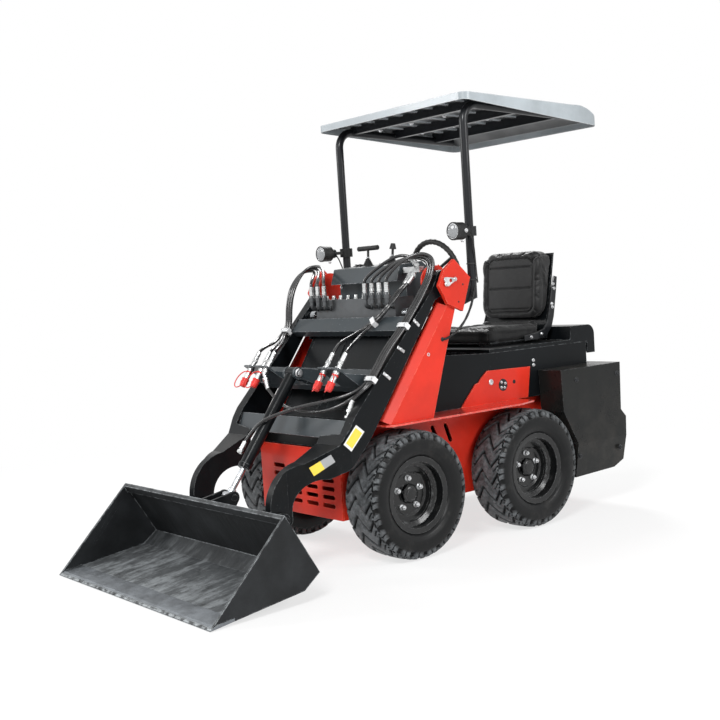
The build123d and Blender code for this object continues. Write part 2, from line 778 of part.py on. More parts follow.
# x, y, lean back in degrees, length, knob radius (0 for a cross grip)
lever_table = [(-62.0, -130.0, 4.0, 84.0, 0.0), (118.0, -130.0, 8.0, 70.0, 17.0)]
with BuildPart() as control_levers:
    for lever_x, lever_y, lever_lean, lever_height, knob_r in lever_table:
        lean_rad = math.radians(lever_lean)
        foot = Plane(
            origin=(lever_x, mid_y + lever_y, 1327.5), x_dir=(1, 0, 0),
            z_dir=(0, math.sin(lean_rad), math.cos(lean_rad)),
        )
        with BuildSketch(foot):
            Circle(18)
        extrude(amount=14, taper=20)
        with BuildSketch(foot):
            Circle(6)
        extrude(amount=lever_height)
        head = foot.from_local_coords((0, 0, lever_height))
        if knob_r:
            with BuildSketch(Plane(origin=head, x_dir=(1, 0, 0), z_dir=foot.z_dir)):
                Circle(knob_r)
            extrude(amount=26, taper=14)
        else:
            with BuildSketch(Plane(origin=head - Vector(72, 0, 0), z_dir=(1, 0, 0))):
                Circle(12)
            extrude(amount=144)
save(control_levers.part, "control_levers")

# ---------------------------------------------------------------- hydraulic hoses
hose_r = 7.5
sleeve_top = elbow_z + 66.0          # hoses leave the control valve's fittings here
shoulder = (-200.0, 1192.0)          # corner of the arms' front edge, under the head
arm_dir = unit(shoulder, (-690.0, 676.0))
tee_y = -175.0
tee_z = 1290.0
tee_dir = (-0.66, -0.7513)
tee_neck = 40.0
tee_xs = [316.0, 338.0]
tee_riser_x = 358.0
tee_riser_dir = Vector(-0.45, -0.35, 0.82).normalized()
tee_riser_low = Vector(tee_riser_x, tee_y, tee_z)
tee_riser_end = tee_riser_low + tee_riser_dir * 28
arm_port = (-676.0, 668.0)
arm_port_x = 392.0
arm_port_dir = Vector(12, 24, 72).normalized()
arm_port_end = Vector(arm_port_x, *arm_port) + arm_port_dir * 34
tilt_way = unit((tilt_top_y, tilt_top_z), (tilt_low_y, tilt_low_z))
near_clamp = [(190, 16), (254, 16)]
low_clamp = [(492, 15), (554, 15)]
far_clamp = [(215, 20), (275, 20)]


def on_arm(t, n):
    """Point t down the arm from its shoulder and n ahead of its front edge, as (y, z)."""
    return (shoulder[0] + arm_dir[0] * t + arm_dir[1] * n, shoulder[1] + arm_dir[1] * t - arm_dir[0] * n)


def on_beam(x, along, n):
    """Point on the upper beam's front face: x, up its slope from the middle, n off the face."""
    lower, upper = beam_faces[0]
    slope = unit(lower, upper)
    return (
        x, (lower[0] + upper[0]) / 2 + slope[0] * along - slope[1] * n,
        (lower[1] + upper[1]) / 2 + slope[1] * along + slope[0] * n,
    )


def on_tilt(at, n):
    """Point that far down the tilt cylinder and n ahead of its axis, as (y, z)."""
    return (
        tilt_top_y + tilt_way[0] * at + tilt_way[1] * n,
        tilt_top_z + tilt_way[1] * at - tilt_way[0] * n,
    )


# share of the way from the fitting's x to the hose's lane on the arm, y, z, and rise from hose to hose
near_arch = [
    (0.0, elbow_y, sleeve_top, 0.0), (0.0, elbow_y, 1262, 0.0), (0.42, -270, 1328, 5.0), (0.76, -206, 1350, 8.0),
    (1.0, -166, 1318, 8.0), (1.0, -190, 1248, 2.0), (1.0, *on_arm(70, 20), 0.0), (1.0, *on_arm(190, 16), 0.0),
    (1.0, *on_arm(254, 16), 0.0), (1.0, *on_arm(372, 26), 0.0), (1.0, *on_arm(492, 15), 0.0),
    (1.0, *on_arm(554, 15), 0.0),
]
far_arch = [
    (0.0, elbow_y, sleeve_top, 0.0), (0.0, elbow_y, 1262, 0.0), (0.42, -240, 1318, -8.0), (0.78, -200, 1346, -12.0),
    (1.0, -250, 1336, -8.0), (1.0, -326, 1245, 0.0), (1.0, -356, 1150, 0.0), (1.0, *on_arm(215, 20), 0.0),
    (1.0, *on_arm(275, 20), 0.0),
]
# share of the way from the lane to the coupler's x, y, z
far_tail = [(0.35, -480, 975), (0.78, -566, 968), (1.0, *on_coupler(-55, 0)), (1.0, *on_coupler(0, 0))]
near_lanes = [(183.0, 420.0), (235.0, 437.0), (287.0, 454.0)]
far_lanes = [(-183.0, -420.0, union_x), (-235.0, -437.0, coupler_xs[2]), (-287.0, -454.0, coupler_xs[3])]
union_low = Vector(union_x, *on_coupler(70, 0))
union_dir = Vector(0.393, -0.06, -0.918)
union_end = union_low + union_dir * 34
near_tails = [
    [
        (398, -652, 768), (318, -738, 740), (205, -784, 722), (95, -826, 690), (8, -878, 652),
        (-30, *on_tilt(370, port_out)), (-30, *on_tilt(500 - 48 - port_neck, port_out)),
    ],
    [
        (414, -628, 764), (330, -662, 712), (190, -676, 680), (50, -684, 676), (-70, -700, 704),
        tuple(union_end + union_dir * 46), tuple(union_end),
    ],
    [(436, -622, 776), tuple(arm_port_end + arm_port_dir * 43), tuple(arm_port_end)],
]
tee_starts = [(x, tee_y + tee_dir[0] * tee_neck, tee_z + tee_dir[1] * tee_neck) for x in tee_xs]
tee_lows = [(x, y + tee_dir[0] * 85, z + tee_dir[1] * 85) for x, y, z in tee_starts]
beam_clamp = (228.0, 0.0)            # x and height on the upper beam's face
clamp_turn = math.radians(50)        # the two hoses cross the beam's face on a slant
beam_lanes = [9.2, -9.2]


def beam_point(lane, run):
    """Point on a hose that crosses the upper beam: lane beside the clamp's middle, run along the hose."""
    c = math.cos(clamp_turn)
    s = math.sin(clamp_turn)
    return on_beam(beam_clamp[0] - s * lane - c * run, beam_clamp[1] + c * lane - s * run, 14)


tee_routes = [
    [
        tee_starts[0], tee_lows[0], (318, -336, 1122), beam_point(beam_lanes[0], -34),
        beam_point(beam_lanes[0], 34), (206, -462, 1010), (248, -580, 985),
        (coupler_xs[0], *on_coupler(-55, 0)), (coupler_xs[0], *on_coupler(0, 0)),
    ],
    [
        tee_starts[1], tee_lows[1], (342, -346, 1116), beam_point(beam_lanes[1], -34),
        beam_point(beam_lanes[1], 34), (240, -458, 1000), (300, -560, 968),
        (coupler_xs[1], *on_coupler(-55, 0)), (coupler_xs[1], *on_coupler(0, 0)),
    ],
]
riser_route = [
    (131, elbow_y, sleeve_top), (131, elbow_y, 1262), (215, -277, 1324), (280, -236, 1360),
    tuple(tee_riser_end + tee_riser_dir * 50), tuple(tee_riser_end),
]

hose_routes = [riser_route, *tee_routes]
for place, ((from_x, lane), tail) in enumerate(zip(near_lanes, near_tails)):
    hose_routes.append(
        [(from_x + share * (lane - from_x), y, z + rise * place) for share, y, z, rise in near_arch] + tail
    )
for place, (from_x, lane, to_x) in enumerate(far_lanes):
    hose_routes.append(
        [(from_x + share * (lane - from_x), y, z + rise * place) for share, y, z, rise in far_arch]
        + [(lane + share * (to_x - lane), y, z) for share, y, z in far_tail]
    )


def hose(route):
    """One hose along straight runs and tangent arcs through its points."""
    points = [Vector(x, mid_y + y, z) for x, y, z in route]
    radii = []
    for before, here, after in zip(points, points[1:], points[2:]):
        turn = math.radians((here - before).get_angle(after - here))
        shorter = min((here - before).length, (after - here).length)
        radii.append(0.45 * shorter / math.tan(turn / 2))
    with BuildPart() as tube:
        with BuildLine() as line:
            FilletPolyline(*points, radius=radii)
        with BuildSketch(Plane(origin=points[0], z_dir=points[1] - points[0])):
            Circle(hose_r)
        sweep(path=line.wire())
    wire = line.wire()
    share = tube.part.volume / (math.pi * hose_r ** 2 * wire.length)
    print(f"hose {wire.length:.0f} mm, arcs {[round(r) for r in radii]}, volume {share:.3f} of section by length")
    return tube.part


with BuildPart() as supply_hose:
    add(hose(hose_routes[0]))
save(supply_hose.part, "supply_hose")

with BuildPart() as boom_hoses:
    for route in hose_routes[1:]:
        add(hose(route))
save(boom_hoses.part, "boom_hoses")

with BuildPart() as hose_tee:
    with BuildSketch(front(tee_y + 15)):
        with Locations((312, tee_z)):
            Rectangle(124, 26)
    extrude(amount=30)
    for x in tee_xs:
        neck = Plane(origin=(x, mid_y + tee_y, tee_z), x_dir=(1, 0, 0), z_dir=(0, *tee_dir))
        with BuildSketch(neck):
            Circle(9)
        extrude(amount=tee_neck)
    with BuildSketch(Plane(origin=tee_riser_low + Vector(0, mid_y, 0), z_dir=tee_riser_dir)):
        Circle(9)
    extrude(amount=28)
save(hose_tee.part, "hose_tee")

# start and end along the coupler's axis, and radius
coupler_profile = [(0, 30, 11.0), (30, 40 - clearance, 16.0), (40 - clearance, 48 + clearance, neck_r),
                   (48 + clearance, 60, 16.0), (60, 76, neck_r)]
with BuildPart() as quick_couplers:
    for x in (*coupler_xs, union_x):
        for start, end, radius in coupler_profile:
            with BuildSketch(across_coupler(start)):
                with Locations((x, 0)):
                    Circle(radius)
            extrude(amount=end - start)
    for x in coupler_xs:
        with BuildSketch(across_coupler(76)):
            with Locations((x, 0)):
                Circle(14)
        extrude(amount=26)
    with BuildSketch(Plane(origin=union_low + Vector(0, mid_y, 0), z_dir=union_dir)):
        Circle(9)
    extrude(amount=34)
    with BuildSketch(side(arm_inner)):
        with Locations(arm_port):
            Circle(10)
    extrude(amount=-26)
    with BuildSketch(Plane(origin=(arm_port_x, mid_y + arm_port[0], arm_port[1]), z_dir=arm_port_dir)):
        Circle(8)
    extrude(amount=34)
save(quick_couplers.part, "quick_couplers")

with BuildPart() as dust_caps:
    with BuildSketch(across_coupler(102 + clearance)):
        for x in coupler_xs:
            with Locations((x, 0)):
                Circle(16)
    extrude(amount=42)
save(dust_caps.part, "dust_caps")

with BuildPart() as hose_clamps:
    for sign, clamp, half_t in ((1, near_clamp, 12), (1, low_clamp, 12), (-1, far_clamp, 12)):
        middle_t = (clamp[0][0] + clamp[1][0]) / 2
        height = clamp[0][1]
        base_y, base_z = on_arm(middle_t - half_t, 0)
        block = Plane(origin=(0, mid_y + base_y, base_z), x_dir=(1, 0, 0), z_dir=(0, *arm_dir))
        with BuildSketch(block):
            with Locations((sign * 437.25, (height + 10) / 2)):
                Rectangle(57.5, height + 10)
            with Locations((sign * 437, height)):
                SlotOverall(51.5, 17.5, mode=Mode.SUBTRACT)
        extrude(amount=2 * half_t)
    way = Vector(*beam_point(0, 1)) - Vector(*beam_point(0, 0))
    foot = Vector(*beam_point(0, -11)) + Vector(0, mid_y, 0)
    across_way = Vector(*beam_point(1, 0)) - Vector(*beam_point(0, 0))
    beam_block = Plane(origin=foot, x_dir=across_way, z_dir=way)
    with BuildSketch(beam_block):
        Rectangle(46, 28)
        with Locations((beam_lanes[0], 0), (beam_lanes[1], 0)):
            Circle(hose_r + 0.8, mode=Mode.SUBTRACT)
    extrude(amount=22)
save(hose_clamps.part, "hose_clamps")

# ---------------------------------------------------------------- seat, hood and engine
hood_bottom = body_top + clearance
hood_thick = 18.0
hood_top = 950.0
hood_rear = 1062.0
seat_y = 600.0
seat_half = 226.0
cushion_bottom = 900.0

with BuildPart() as engine_hood:
    with BuildSketch(side(-body_half)):
        with BuildLine():
            Polyline(
                (tail_face, hood_bottom), (well_rear, hood_bottom), (well_rear, hood_bottom + hood_thick),
                (866, hood_bottom + hood_thick), (876, hood_top), (hood_rear - 50, hood_top)
            )
            ThreePointArc((hood_rear - 50, hood_top), (hood_rear - 15, hood_top - 15), (hood_rear, hood_top - 50))
            Polyline((hood_rear, hood_top - 50), (hood_rear, 800), (tail_face, 800), (tail_face, hood_bottom))
        make_face()
    extrude(amount=2 * body_half)
    with BuildSketch(side(-body_half + sheet)):
        Polygon(
            (884, hood_bottom - 80), (884, hood_top - sheet), (hood_rear - 40, hood_top - sheet),
            (hood_rear - sheet, hood_top - 54), (hood_rear - sheet, hood_bottom - 80)
        )
    extrude(amount=2 * (body_half - sheet), mode=Mode.SUBTRACT)
    with BuildSketch(plan(hood_bottom)):
        for from_y, to_y in ((well_rear + 12, 560), (572, 860)):
            with Locations((0, (from_y + to_y) / 2)):
                Rectangle(2 * body_half - 24, to_y - from_y)
    extrude(amount=hood_thick - sheet, mode=Mode.SUBTRACT)
    for sign in (1, -1):
        with BuildSketch(side(sign * 262)):
            Polygon((hinge_y - 12, hinge_z), (hinge_y - 6, hood_top - 2), (hinge_y + 30, hood_top - 30),
                    (hinge_y + 12, hinge_z))
            with Locations((hinge_y, hinge_z)):
                Circle(16)
            with Locations((hinge_y, hinge_z)):
                Circle(hinge_pin_r + running, mode=Mode.SUBTRACT)
        extrude(amount=sign * 12)
save(engine_hood.part, "engine_hood")

with BuildPart() as seat_frame:
    with BuildSketch(plan(hood_bottom + hood_thick)):
        with Locations((-150, seat_y), (150, seat_y)):
            Rectangle(40, 380)
    extrude(amount=cushion_bottom - 6 - hood_bottom - hood_thick)
    with BuildSketch(plan(cushion_bottom - 6)):
        with Locations((0, seat_y + 20)):
            Rectangle(2 * seat_half - 30, 420)
    extrude(amount=6)
    with BuildSketch(side(-seat_half + 15)):
        Polygon((820.2, cushion_bottom - 6), (840, cushion_bottom - 6), (928, 1340), (921, 1340))
    extrude(amount=2 * seat_half - 30)
save(seat_frame.part, "seat_frame")

with BuildPart() as seat_cushion:
    with BuildSketch(side(-seat_half)):
        Polygon((385, 900), (385, 950), (430, 968), (600, 955), (770, 960), (816, 985), (816, 900))
    extrude(amount=2 * seat_half)
    fillet(seat_cushion.edges().filter_by(Axis.X).group_by(Axis.Z)[-1], radius=12)
    fillet(seat_cushion.faces().filter_by(Axis.X).edges().filter_by(Axis.X, reverse=True), radius=10)
save(seat_cushion.part, "seat_cushion")

with BuildPart() as seat_back:
    with BuildSketch(side(-seat_half)):
        Polygon((793, 992), (840, 986), (919.5, 1338), (905, 1371), (850, 1371), (826, 1330))
    extrude(amount=2 * seat_half)
    fillet(seat_back.faces().filter_by(Axis.X).edges(), radius=12)
save(seat_back.part, "seat_back")

with BuildPart() as engine_block:
    with BuildSketch(plan(chassis_bottom + plate + clearance)):
        with Locations((0, 560)):
            Rectangle(440, 250)
    extrude(amount=500)
    with BuildSketch(plan(320)):
        with Locations((0, 640)):
            Rectangle(420, 460)
    extrude(amount=430)
save(engine_block.part, "engine_block")

# ---------------------------------------------------------------- counterweight
weight_outline = [
    (tail_front, tail_top), (610, 539), (711, 363), (711, tail_bottom), (1020, 197), (tail_reach - 9, 230),
    (tail_reach, 459), (1061, 499), (1069, tail_top),
]
cavity_half = 350.0
weight_wall = 20.0
# hollows of the welded box, as (y, z): beside the engine bay and across the tail
side_hollow = [
    (731, 212), (1018, 217), (1074, 246), (1080, 448), (1042, 485), (1048, 728), (624, 728), (630, 545), (731, 369),
]
tail_hollow = [(1021, 217), (1074, 246), (1080, 448), (1042, 485), (1048, 728), (1021, 728)]
eye_x = 300.0             # tie-down eyes on the rear face
eye_y = 1083.0
eye_z = 590.0
eye_hole_r = 11.0
eye_thick = 12.0
with BuildPart() as counterweight:
    with BuildSketch(side(-tail_half)):
        Polygon(*weight_outline)
    extrude(amount=2 * tail_half)
    with BuildSketch(plan(tail_bottom - 20)):
        Polygon(
            (-cavity_half, tail_front - 20), (cavity_half, tail_front - 20), (cavity_half, tail_face + clearance),
            (-cavity_half, tail_face + clearance)
        )
    extrude(amount=tail_top, mode=Mode.SUBTRACT)
    for sign in (1, -1):
        with BuildSketch(front(tail_reach)):
            Polygon(
                (sign * (tail_half + 1), 365), (sign * (tail_half + 1), 150), (sign * (tail_half - 38), 150),
                (sign * (tail_half - 30), 189)
            )
        extrude(amount=tail_reach - tail_front, mode=Mode.SUBTRACT)
    for sign in (1, -1):
        with BuildSketch(side(sign * (cavity_half + weight_wall))):
            Polygon(*side_hollow)
        extrude(amount=sign * 80, mode=Mode.SUBTRACT)
    with BuildSketch(side(-cavity_half)):
        Polygon(*tail_hollow)
    extrude(amount=2 * cavity_half, mode=Mode.SUBTRACT)
    for sign in (1, -1):
        with BuildSketch(side(sign * eye_x)):
            Polygon(
                (1058, eye_z - 35), (eye_y + 7, eye_z - 22), (tail_reach - 1, eye_z - 10),
                (tail_reach - 1, eye_z + 10), (eye_y + 7, eye_z + 22), (1058, eye_z + 35)
            )
            with Locations((eye_y, eye_z)):
                Circle(eye_hole_r, mode=Mode.SUBTRACT)
        extrude(amount=sign * eye_thick)
save(counterweight.part, "counterweight")

# ---------------------------------------------------------------- canopy and lamps
roof_sheet = 5.0
roof_front_top = 2078.0
roof_mid_top = 2058.0
roof_rear_top = 1995.0
rim_drop = 34.0
with BuildPart() as canopy_roof:
    with BuildSketch(side(-canopy_front_half)):
        with BuildLine():
            Polyline(
                (760, roof_mid_top), (canopy_front_y, roof_front_top), (canopy_front_y, roof_front_top - rim_drop),
                (canopy_rear_y, roof_rear_top - rim_drop), (canopy_rear_y, roof_rear_top)
            )
            ThreePointArc((canopy_rear_y, roof_rear_top), (885, 2040), (760, roof_mid_top))
        make_face()
    extrude(amount=2 * canopy_front_half)
    with BuildSketch(plan(1900)):
        Polygon(
            (-canopy_front_half, canopy_front_y - 1), (canopy_front_half, canopy_front_y - 1),
            (canopy_rear_half, canopy_rear_y + 1), (-canopy_rear_half, canopy_rear_y + 1)
        )
    extrude(amount=300, mode=Mode.INTERSECT)
    fillet(canopy_roof.edges().filter_by(Axis.Z, tolerance=3), radius=40)
    underside = canopy_roof.faces().sort_by(SortBy.AREA)[-2:].sort_by(Axis.Z)[0]
    offset(amount=-roof_sheet, openings=underside)
save(canopy_roof.part, "canopy_roof")

bend_r = 85.0
rail_z = 2042.0
rail_drop = 34.0
rail_end = 880.0
post_bottom = 1140.0
with BuildPart() as canopy_frame:
    for sign in (1, -1):
        with BuildLine() as route:
            FilletPolyline(
                (sign * post_x, mid_y + post_y, post_bottom), (sign * post_x, mid_y + post_y, rail_z),
                (sign * post_x, mid_y + rail_end, rail_z - rail_drop), radius=bend_r,
            )
        with BuildSketch(plan(post_bottom)):
            with Locations((sign * post_x, post_y)):
                Circle(post_r)
        sweep(path=route.wire())
        with BuildSketch(side(sign * (upright_outer - plate - clearance))):
            Polygon(
                (head_rear[1][0] + clearance, head_rear[1][1]), (head_rear[0][0] + clearance, head_rear[0][1]),
                (post_y + 14, head_rear[0][1]), (post_y + 14, post_bottom)
            )
        extrude(amount=-sign * 12)
    for bar_y in (156, 450, 745):
        bar_z = rail_z - rail_drop * (bar_y - post_y) / (rail_end - post_y)
        roof_z = roof_front_top - (roof_front_top - roof_mid_top) * (bar_y + 15 - canopy_front_y) / (760 - canopy_front_y)
        with BuildSketch(side(-post_x)):
            Polygon(
                (bar_y - 15, bar_z - 10), (bar_y + 15, bar_z - 10), (bar_y + 15, roof_z - roof_sheet - clearance),
                (bar_y - 15, roof_z - roof_sheet - clearance)
            )
        extrude(amount=2 * post_x)
save(canopy_frame.part, "canopy_frame")

lamp_table = [(1, -58.0, 1451.0), (-1, -58.0, 1408.0)]
lamp_r = 40.0
with BuildPart() as work_lamps:
    for sign, lamp_y, lamp_z in lamp_table:
        with BuildSketch(front(lamp_y + 30)):
            with Locations((sign * 500, lamp_z)):
                Circle(lamp_r)
        extrude(amount=56)
        with BuildSketch(front(lamp_y + 62)):
            with Locations((sign * 500, lamp_z)):
                Circle(lamp_r - 16)
        extrude(amount=34)
        with BuildSketch(plan(lamp_z - 8)):
            Polygon(
                (sign * 508, lamp_y + 40), (sign * 492, lamp_y + 40), (sign * (post_x - 8), post_y - post_r - 12),
                (sign * (post_x + 8), post_y - post_r - 12)
            )
        extrude(amount=16)
        with BuildSketch(plan(lamp_z - 22)):
            with Locations((sign * post_x, post_y)):
                Circle(post_r + 13)
                Circle(post_r + clearance, mode=Mode.SUBTRACT)
        extrude(amount=44)
save(work_lamps.part, "work_lamps")
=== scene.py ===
"""Ride-on skid steer loader: finishes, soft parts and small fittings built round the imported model."""
import math

import bmesh
import bpy
import numpy as np
from mathutils import Matrix, Vector


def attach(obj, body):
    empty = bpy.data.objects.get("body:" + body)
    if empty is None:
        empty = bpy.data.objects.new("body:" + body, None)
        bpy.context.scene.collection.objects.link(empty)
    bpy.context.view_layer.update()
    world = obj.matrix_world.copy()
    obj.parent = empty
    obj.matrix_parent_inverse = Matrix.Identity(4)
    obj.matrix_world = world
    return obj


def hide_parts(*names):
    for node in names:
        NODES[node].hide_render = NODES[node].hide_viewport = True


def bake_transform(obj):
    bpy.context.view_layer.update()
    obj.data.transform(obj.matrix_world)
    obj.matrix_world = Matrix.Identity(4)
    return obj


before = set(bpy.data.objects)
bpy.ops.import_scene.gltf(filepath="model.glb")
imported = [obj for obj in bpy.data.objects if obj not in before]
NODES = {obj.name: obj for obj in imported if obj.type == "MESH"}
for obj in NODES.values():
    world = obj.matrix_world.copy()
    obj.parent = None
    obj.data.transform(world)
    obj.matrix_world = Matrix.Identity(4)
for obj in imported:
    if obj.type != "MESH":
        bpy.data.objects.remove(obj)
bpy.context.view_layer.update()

bl_info = {
    "name": "Skid Steer Loader Finishes",
    "version": (1, 0, 0),
    "blender": (4, 5, 0),
    "location": "3D View > Sidebar > Loader",
    "description": "Tyres, hoses, seat, canopy and finishes of a ride-on skid steer loader",
    "category": "Object",
}

MM = 0.001
MID_Y = 243.5             # middle of the wheelbase, in the model's frame
AXLE_Y = 389.0            # axles before and behind that middle
WHEEL_X = 419.5           # middle of a tyre's width
WHEEL_R = 290.0           # tyre's radius, and its centre's height
ARM_X = 462.0             # outer side of the boom's arms
SEAT_INSET = 0.005        # cushions start this much smaller than their CAD pads, in metres
CLOTH_FRAMES = 20         # steps in which the cushions swell
STUB = 34.0               # length of the fittings that the boom's hoses end on
WHITE = (1.0, 1.0, 1.0, 1.0)


def paint_setting(name, description, default):
    return bpy.props.FloatVectorProperty(
        name=name, description=description, subtype="COLOR", size=3, min=0.0, max=1.0, default=default)


def size_setting(name, description, default):
    return bpy.props.FloatProperty(
        name=name, description=description, unit="LENGTH", subtype="DISTANCE", default=default)


class LoaderSettings(bpy.types.PropertyGroup):
    """Sizes and colours of the loader that a user may change."""

    body_colour: paint_setting("Body colour", "Paint of the chassis and uprights", (0.64, 0.028, 0.012))
    arm_colour: paint_setting("Arm colour", "Paint of the boom and the body panels", (0.0055, 0.0068, 0.0080))
    tail_colour: paint_setting("Counterweight colour", "Paint of the counterweight", (0.0095, 0.0102, 0.0100))
    roof_colour: paint_setting("Roof colour", "Moulded canopy", (0.36, 0.40, 0.425))
    lug_count: bpy.props.IntProperty(
        name="Tread lugs", description="Zigzag bars round a tyre", min=12, max=34, default=21)
    lug_depth: size_setting("Tread depth", "Height of the tread's lugs", 0.013)
    hose_radius: size_setting("Hose radius", "Outer radius of the hydraulic hoses", 0.0075)
    seat_swell: size_setting("Seat swell", "How far the cushions may swell", 0.014)
    dust: bpy.props.FloatProperty(
        name="Dust", description="Amount of dust and wear", subtype="FACTOR", min=0.0, max=1.0, default=0.5)


# ---------------------------------------------------------------- shader maths
class Value:
    """A socket in a node tree, whose arithmetic adds Math nodes."""

    def __init__(self, nodes, socket):
        self.nodes = nodes
        self.socket = socket

    def math(self, operation, other, swap=False):
        pair = (other, self) if swap else (self, other)
        return self.nodes.node("ShaderNodeMath", {"operation": operation}, dict(enumerate(pair)))

    def __add__(self, other):
        return self.math("ADD", other)

    __radd__ = __add__

    def __sub__(self, other):
        return self.math("SUBTRACT", other)

    def __rsub__(self, other):
        return self.math("SUBTRACT", other, True)

    def __mul__(self, other):
        return self.math("MULTIPLY", other)

    __rmul__ = __mul__

    def __truediv__(self, other):
        return self.math("DIVIDE", other)

    def __rtruediv__(self, other):
        return self.math("DIVIDE", other, True)

    def step(self, low, high):
        """0 below low, 1 above high, and smooth between them."""
        return self.nodes.node("ShaderNodeMapRange", {"interpolation_type": "SMOOTHSTEP"},
                               {0: self, 1: low, 2: high})


class Nodes:
    """The node tree of a material or world: node() adds a node and put() fills a socket."""

    def __init__(self, owner):
        owner.use_nodes = True
        self.tree = owner.node_tree
        self.tree.nodes.clear()

    def node(self, kind, settings=None, values=None, out=0):
        made = self.tree.nodes.new(kind)
        for key, value in (settings or {}).items():
            setattr(made, key, value)
        for key, value in (values or {}).items():
            self.put(made.inputs[key], value)
        return Value(self, made.outputs[out]) if made.outputs else made

    def put(self, socket, value):
        if isinstance(value, Value):
            self.tree.links.new(value.socket, socket)
        else:
            socket.default_value = value

    def seen(self, *kinds):
        """1 for rays of any of these kinds, such as Is Camera Ray."""
        rays = [self.node("ShaderNodeLightPath", out=kind) for kind in kinds]
        share = rays[0]
        for ray in rays[1:]:
            share = share.math("MAXIMUM", ray)
        return share


class Finish(Nodes):
    """One procedural material: colour() mixes, and set() feeds the shader."""

    def __init__(self, name, base, roughness, metallic=0.0, coat=0.0, gloss=0.5):
        self.material = bpy.data.materials.new(name)
        super().__init__(self.material)
        self.surface = self.node("ShaderNodeBsdfPrincipled")
        self.out = self.node("ShaderNodeOutputMaterial", {}, {0: self.surface})
        self.set("Base Color", (*base, 1.0))
        self.set("Roughness", roughness)
        self.set("Metallic", metallic)
        self.set("Coat Weight", coat)
        self.set("Coat Roughness", 0.10)
        self.set("Specular IOR Level", gloss)
        self.material.diffuse_color = (*base, 1.0)
        self.place = self.node("ShaderNodeTexCoord", out="Object")

    def set(self, name, value):
        self.put(self.surface.socket.node.inputs[name], value)

    def noise(self, scale, detail=4.0, rough=0.55, vector=None):
        values = {"Vector": vector or self.place, "Scale": scale, "Detail": detail, "Roughness": rough}
        return self.node("ShaderNodeTexNoise", {}, values)

    def colour(self, share, low, high):
        """Colour low where share is 0 and high where it is 1."""
        low, high = ((*end, 1.0) if isinstance(end, tuple) else end for end in (low, high))
        return self.node("ShaderNodeMix", {"data_type": "RGBA"}, {0: share, 6: low, 7: high}, 2)

    def bump(self, height, strength, distance, normal=None):
        values = {"Height": height, "Strength": strength, "Distance": distance}
        return self.node("ShaderNodeBump", {}, {**values, "Normal": normal} if normal else values)

    def normal(self):
        """Normal of the flat face."""
        return self.node("ShaderNodeNewGeometry", out="Normal")

    def part(self, vector, axis):
        """One coordinate of a vector: 0 for x, 1 for y and 2 for z."""
        return self.node("ShaderNodeSeparateXYZ", {}, {0: vector}, axis)

    def stretched(self, scale, turn=0.0):
        """Object coordinates stretched along the axes, and turned about the upright one."""
        return self.node("ShaderNodeMapping", {},
                         {"Vector": self.place, "Scale": scale, "Rotation": (0.0, 0.0, turn)})

    def edges(self, radius, reach):
        """Rounded normal of a hard edge, and a mask that is 1 on that edge."""
        rounded = self.node("ShaderNodeBevel", {"samples": 4}, {"Radius": radius})
        wide = self.node("ShaderNodeBevel", {"samples": 4}, {"Radius": reach})
        like = self.node(
            "ShaderNodeVectorMath", {"operation": "DOT_PRODUCT"}, {0: wide, 1: self.normal()}, "Value")
        return rounded, (1.0 - like).step(0.01, 0.12)

    def upward(self):
        """1 on faces that look up, where dust settles."""
        return self.part(self.normal(), 2).step(0.3, 0.95)

    def height(self):
        """Height above the ground, in metres."""
        return self.part(self.place, 2)


def tint(colour, gain):
    return tuple(min(1.0, max(0.0, c * gain)) for c in colour)


def painted(name, base, roughness, coat, dust, wear, dirt, worn, radius=0.002, gloss=0.3):
    """Sprayed paint: orange-peel bump, cloudy shade, dust low down and on top, and paler edges that are partly rubbed
    paint and partly a painted highlight.
    """
    f = Finish(name, base, roughness, 0.0, coat, gloss)
    rounded, edge = f.edges(radius, radius * 2.2)
    cloud = f.noise(3.1, 5.0).step(0.32, 0.72)
    fine = f.noise(46.0, 6.0, 0.7)
    shade = f.colour(cloud, tint(base, 0.86), tint(base, 1.10))
    low = (1.0 - f.height().step(0.10, 0.85)) * dirt
    grime = (low + f.upward() * 0.30) * f.noise(8.0, 6.0, 0.65).step(0.34, 0.78) * (dust * 1.5)
    shade = f.colour(grime.math("MINIMUM", 0.7), shade, (0.24, 0.21, 0.18))
    # paler edges: rubbed paint, and a painted highlight along every edge
    edge_rub_and_highlight = edge * fine.step(0.40, 0.66) * wear
    scuff = f.noise(210.0, 3.0, 0.6).step(0.69, 0.73) * f.noise(5.0, 2.0).step(0.48, 0.62) * wear * 0.6
    shade = f.colour((edge_rub_and_highlight + scuff).math("MINIMUM", 1.0), shade, worn)
    f.set("Base Color", shade)
    f.set("Roughness", roughness + cloud * 0.07 + grime * 0.40 + fine * 0.05)
    f.set("Coat Weight", (1.0 - grime.math("MINIMUM", 1.0)) * coat)
    peel = f.bump(f.noise(260.0, 2.0, 0.5), 0.10, 0.0006, rounded)
    f.set("Normal", f.bump(f.noise(24.0, 3.0, 0.5), 0.05, 0.0015, peel))
    return f.material


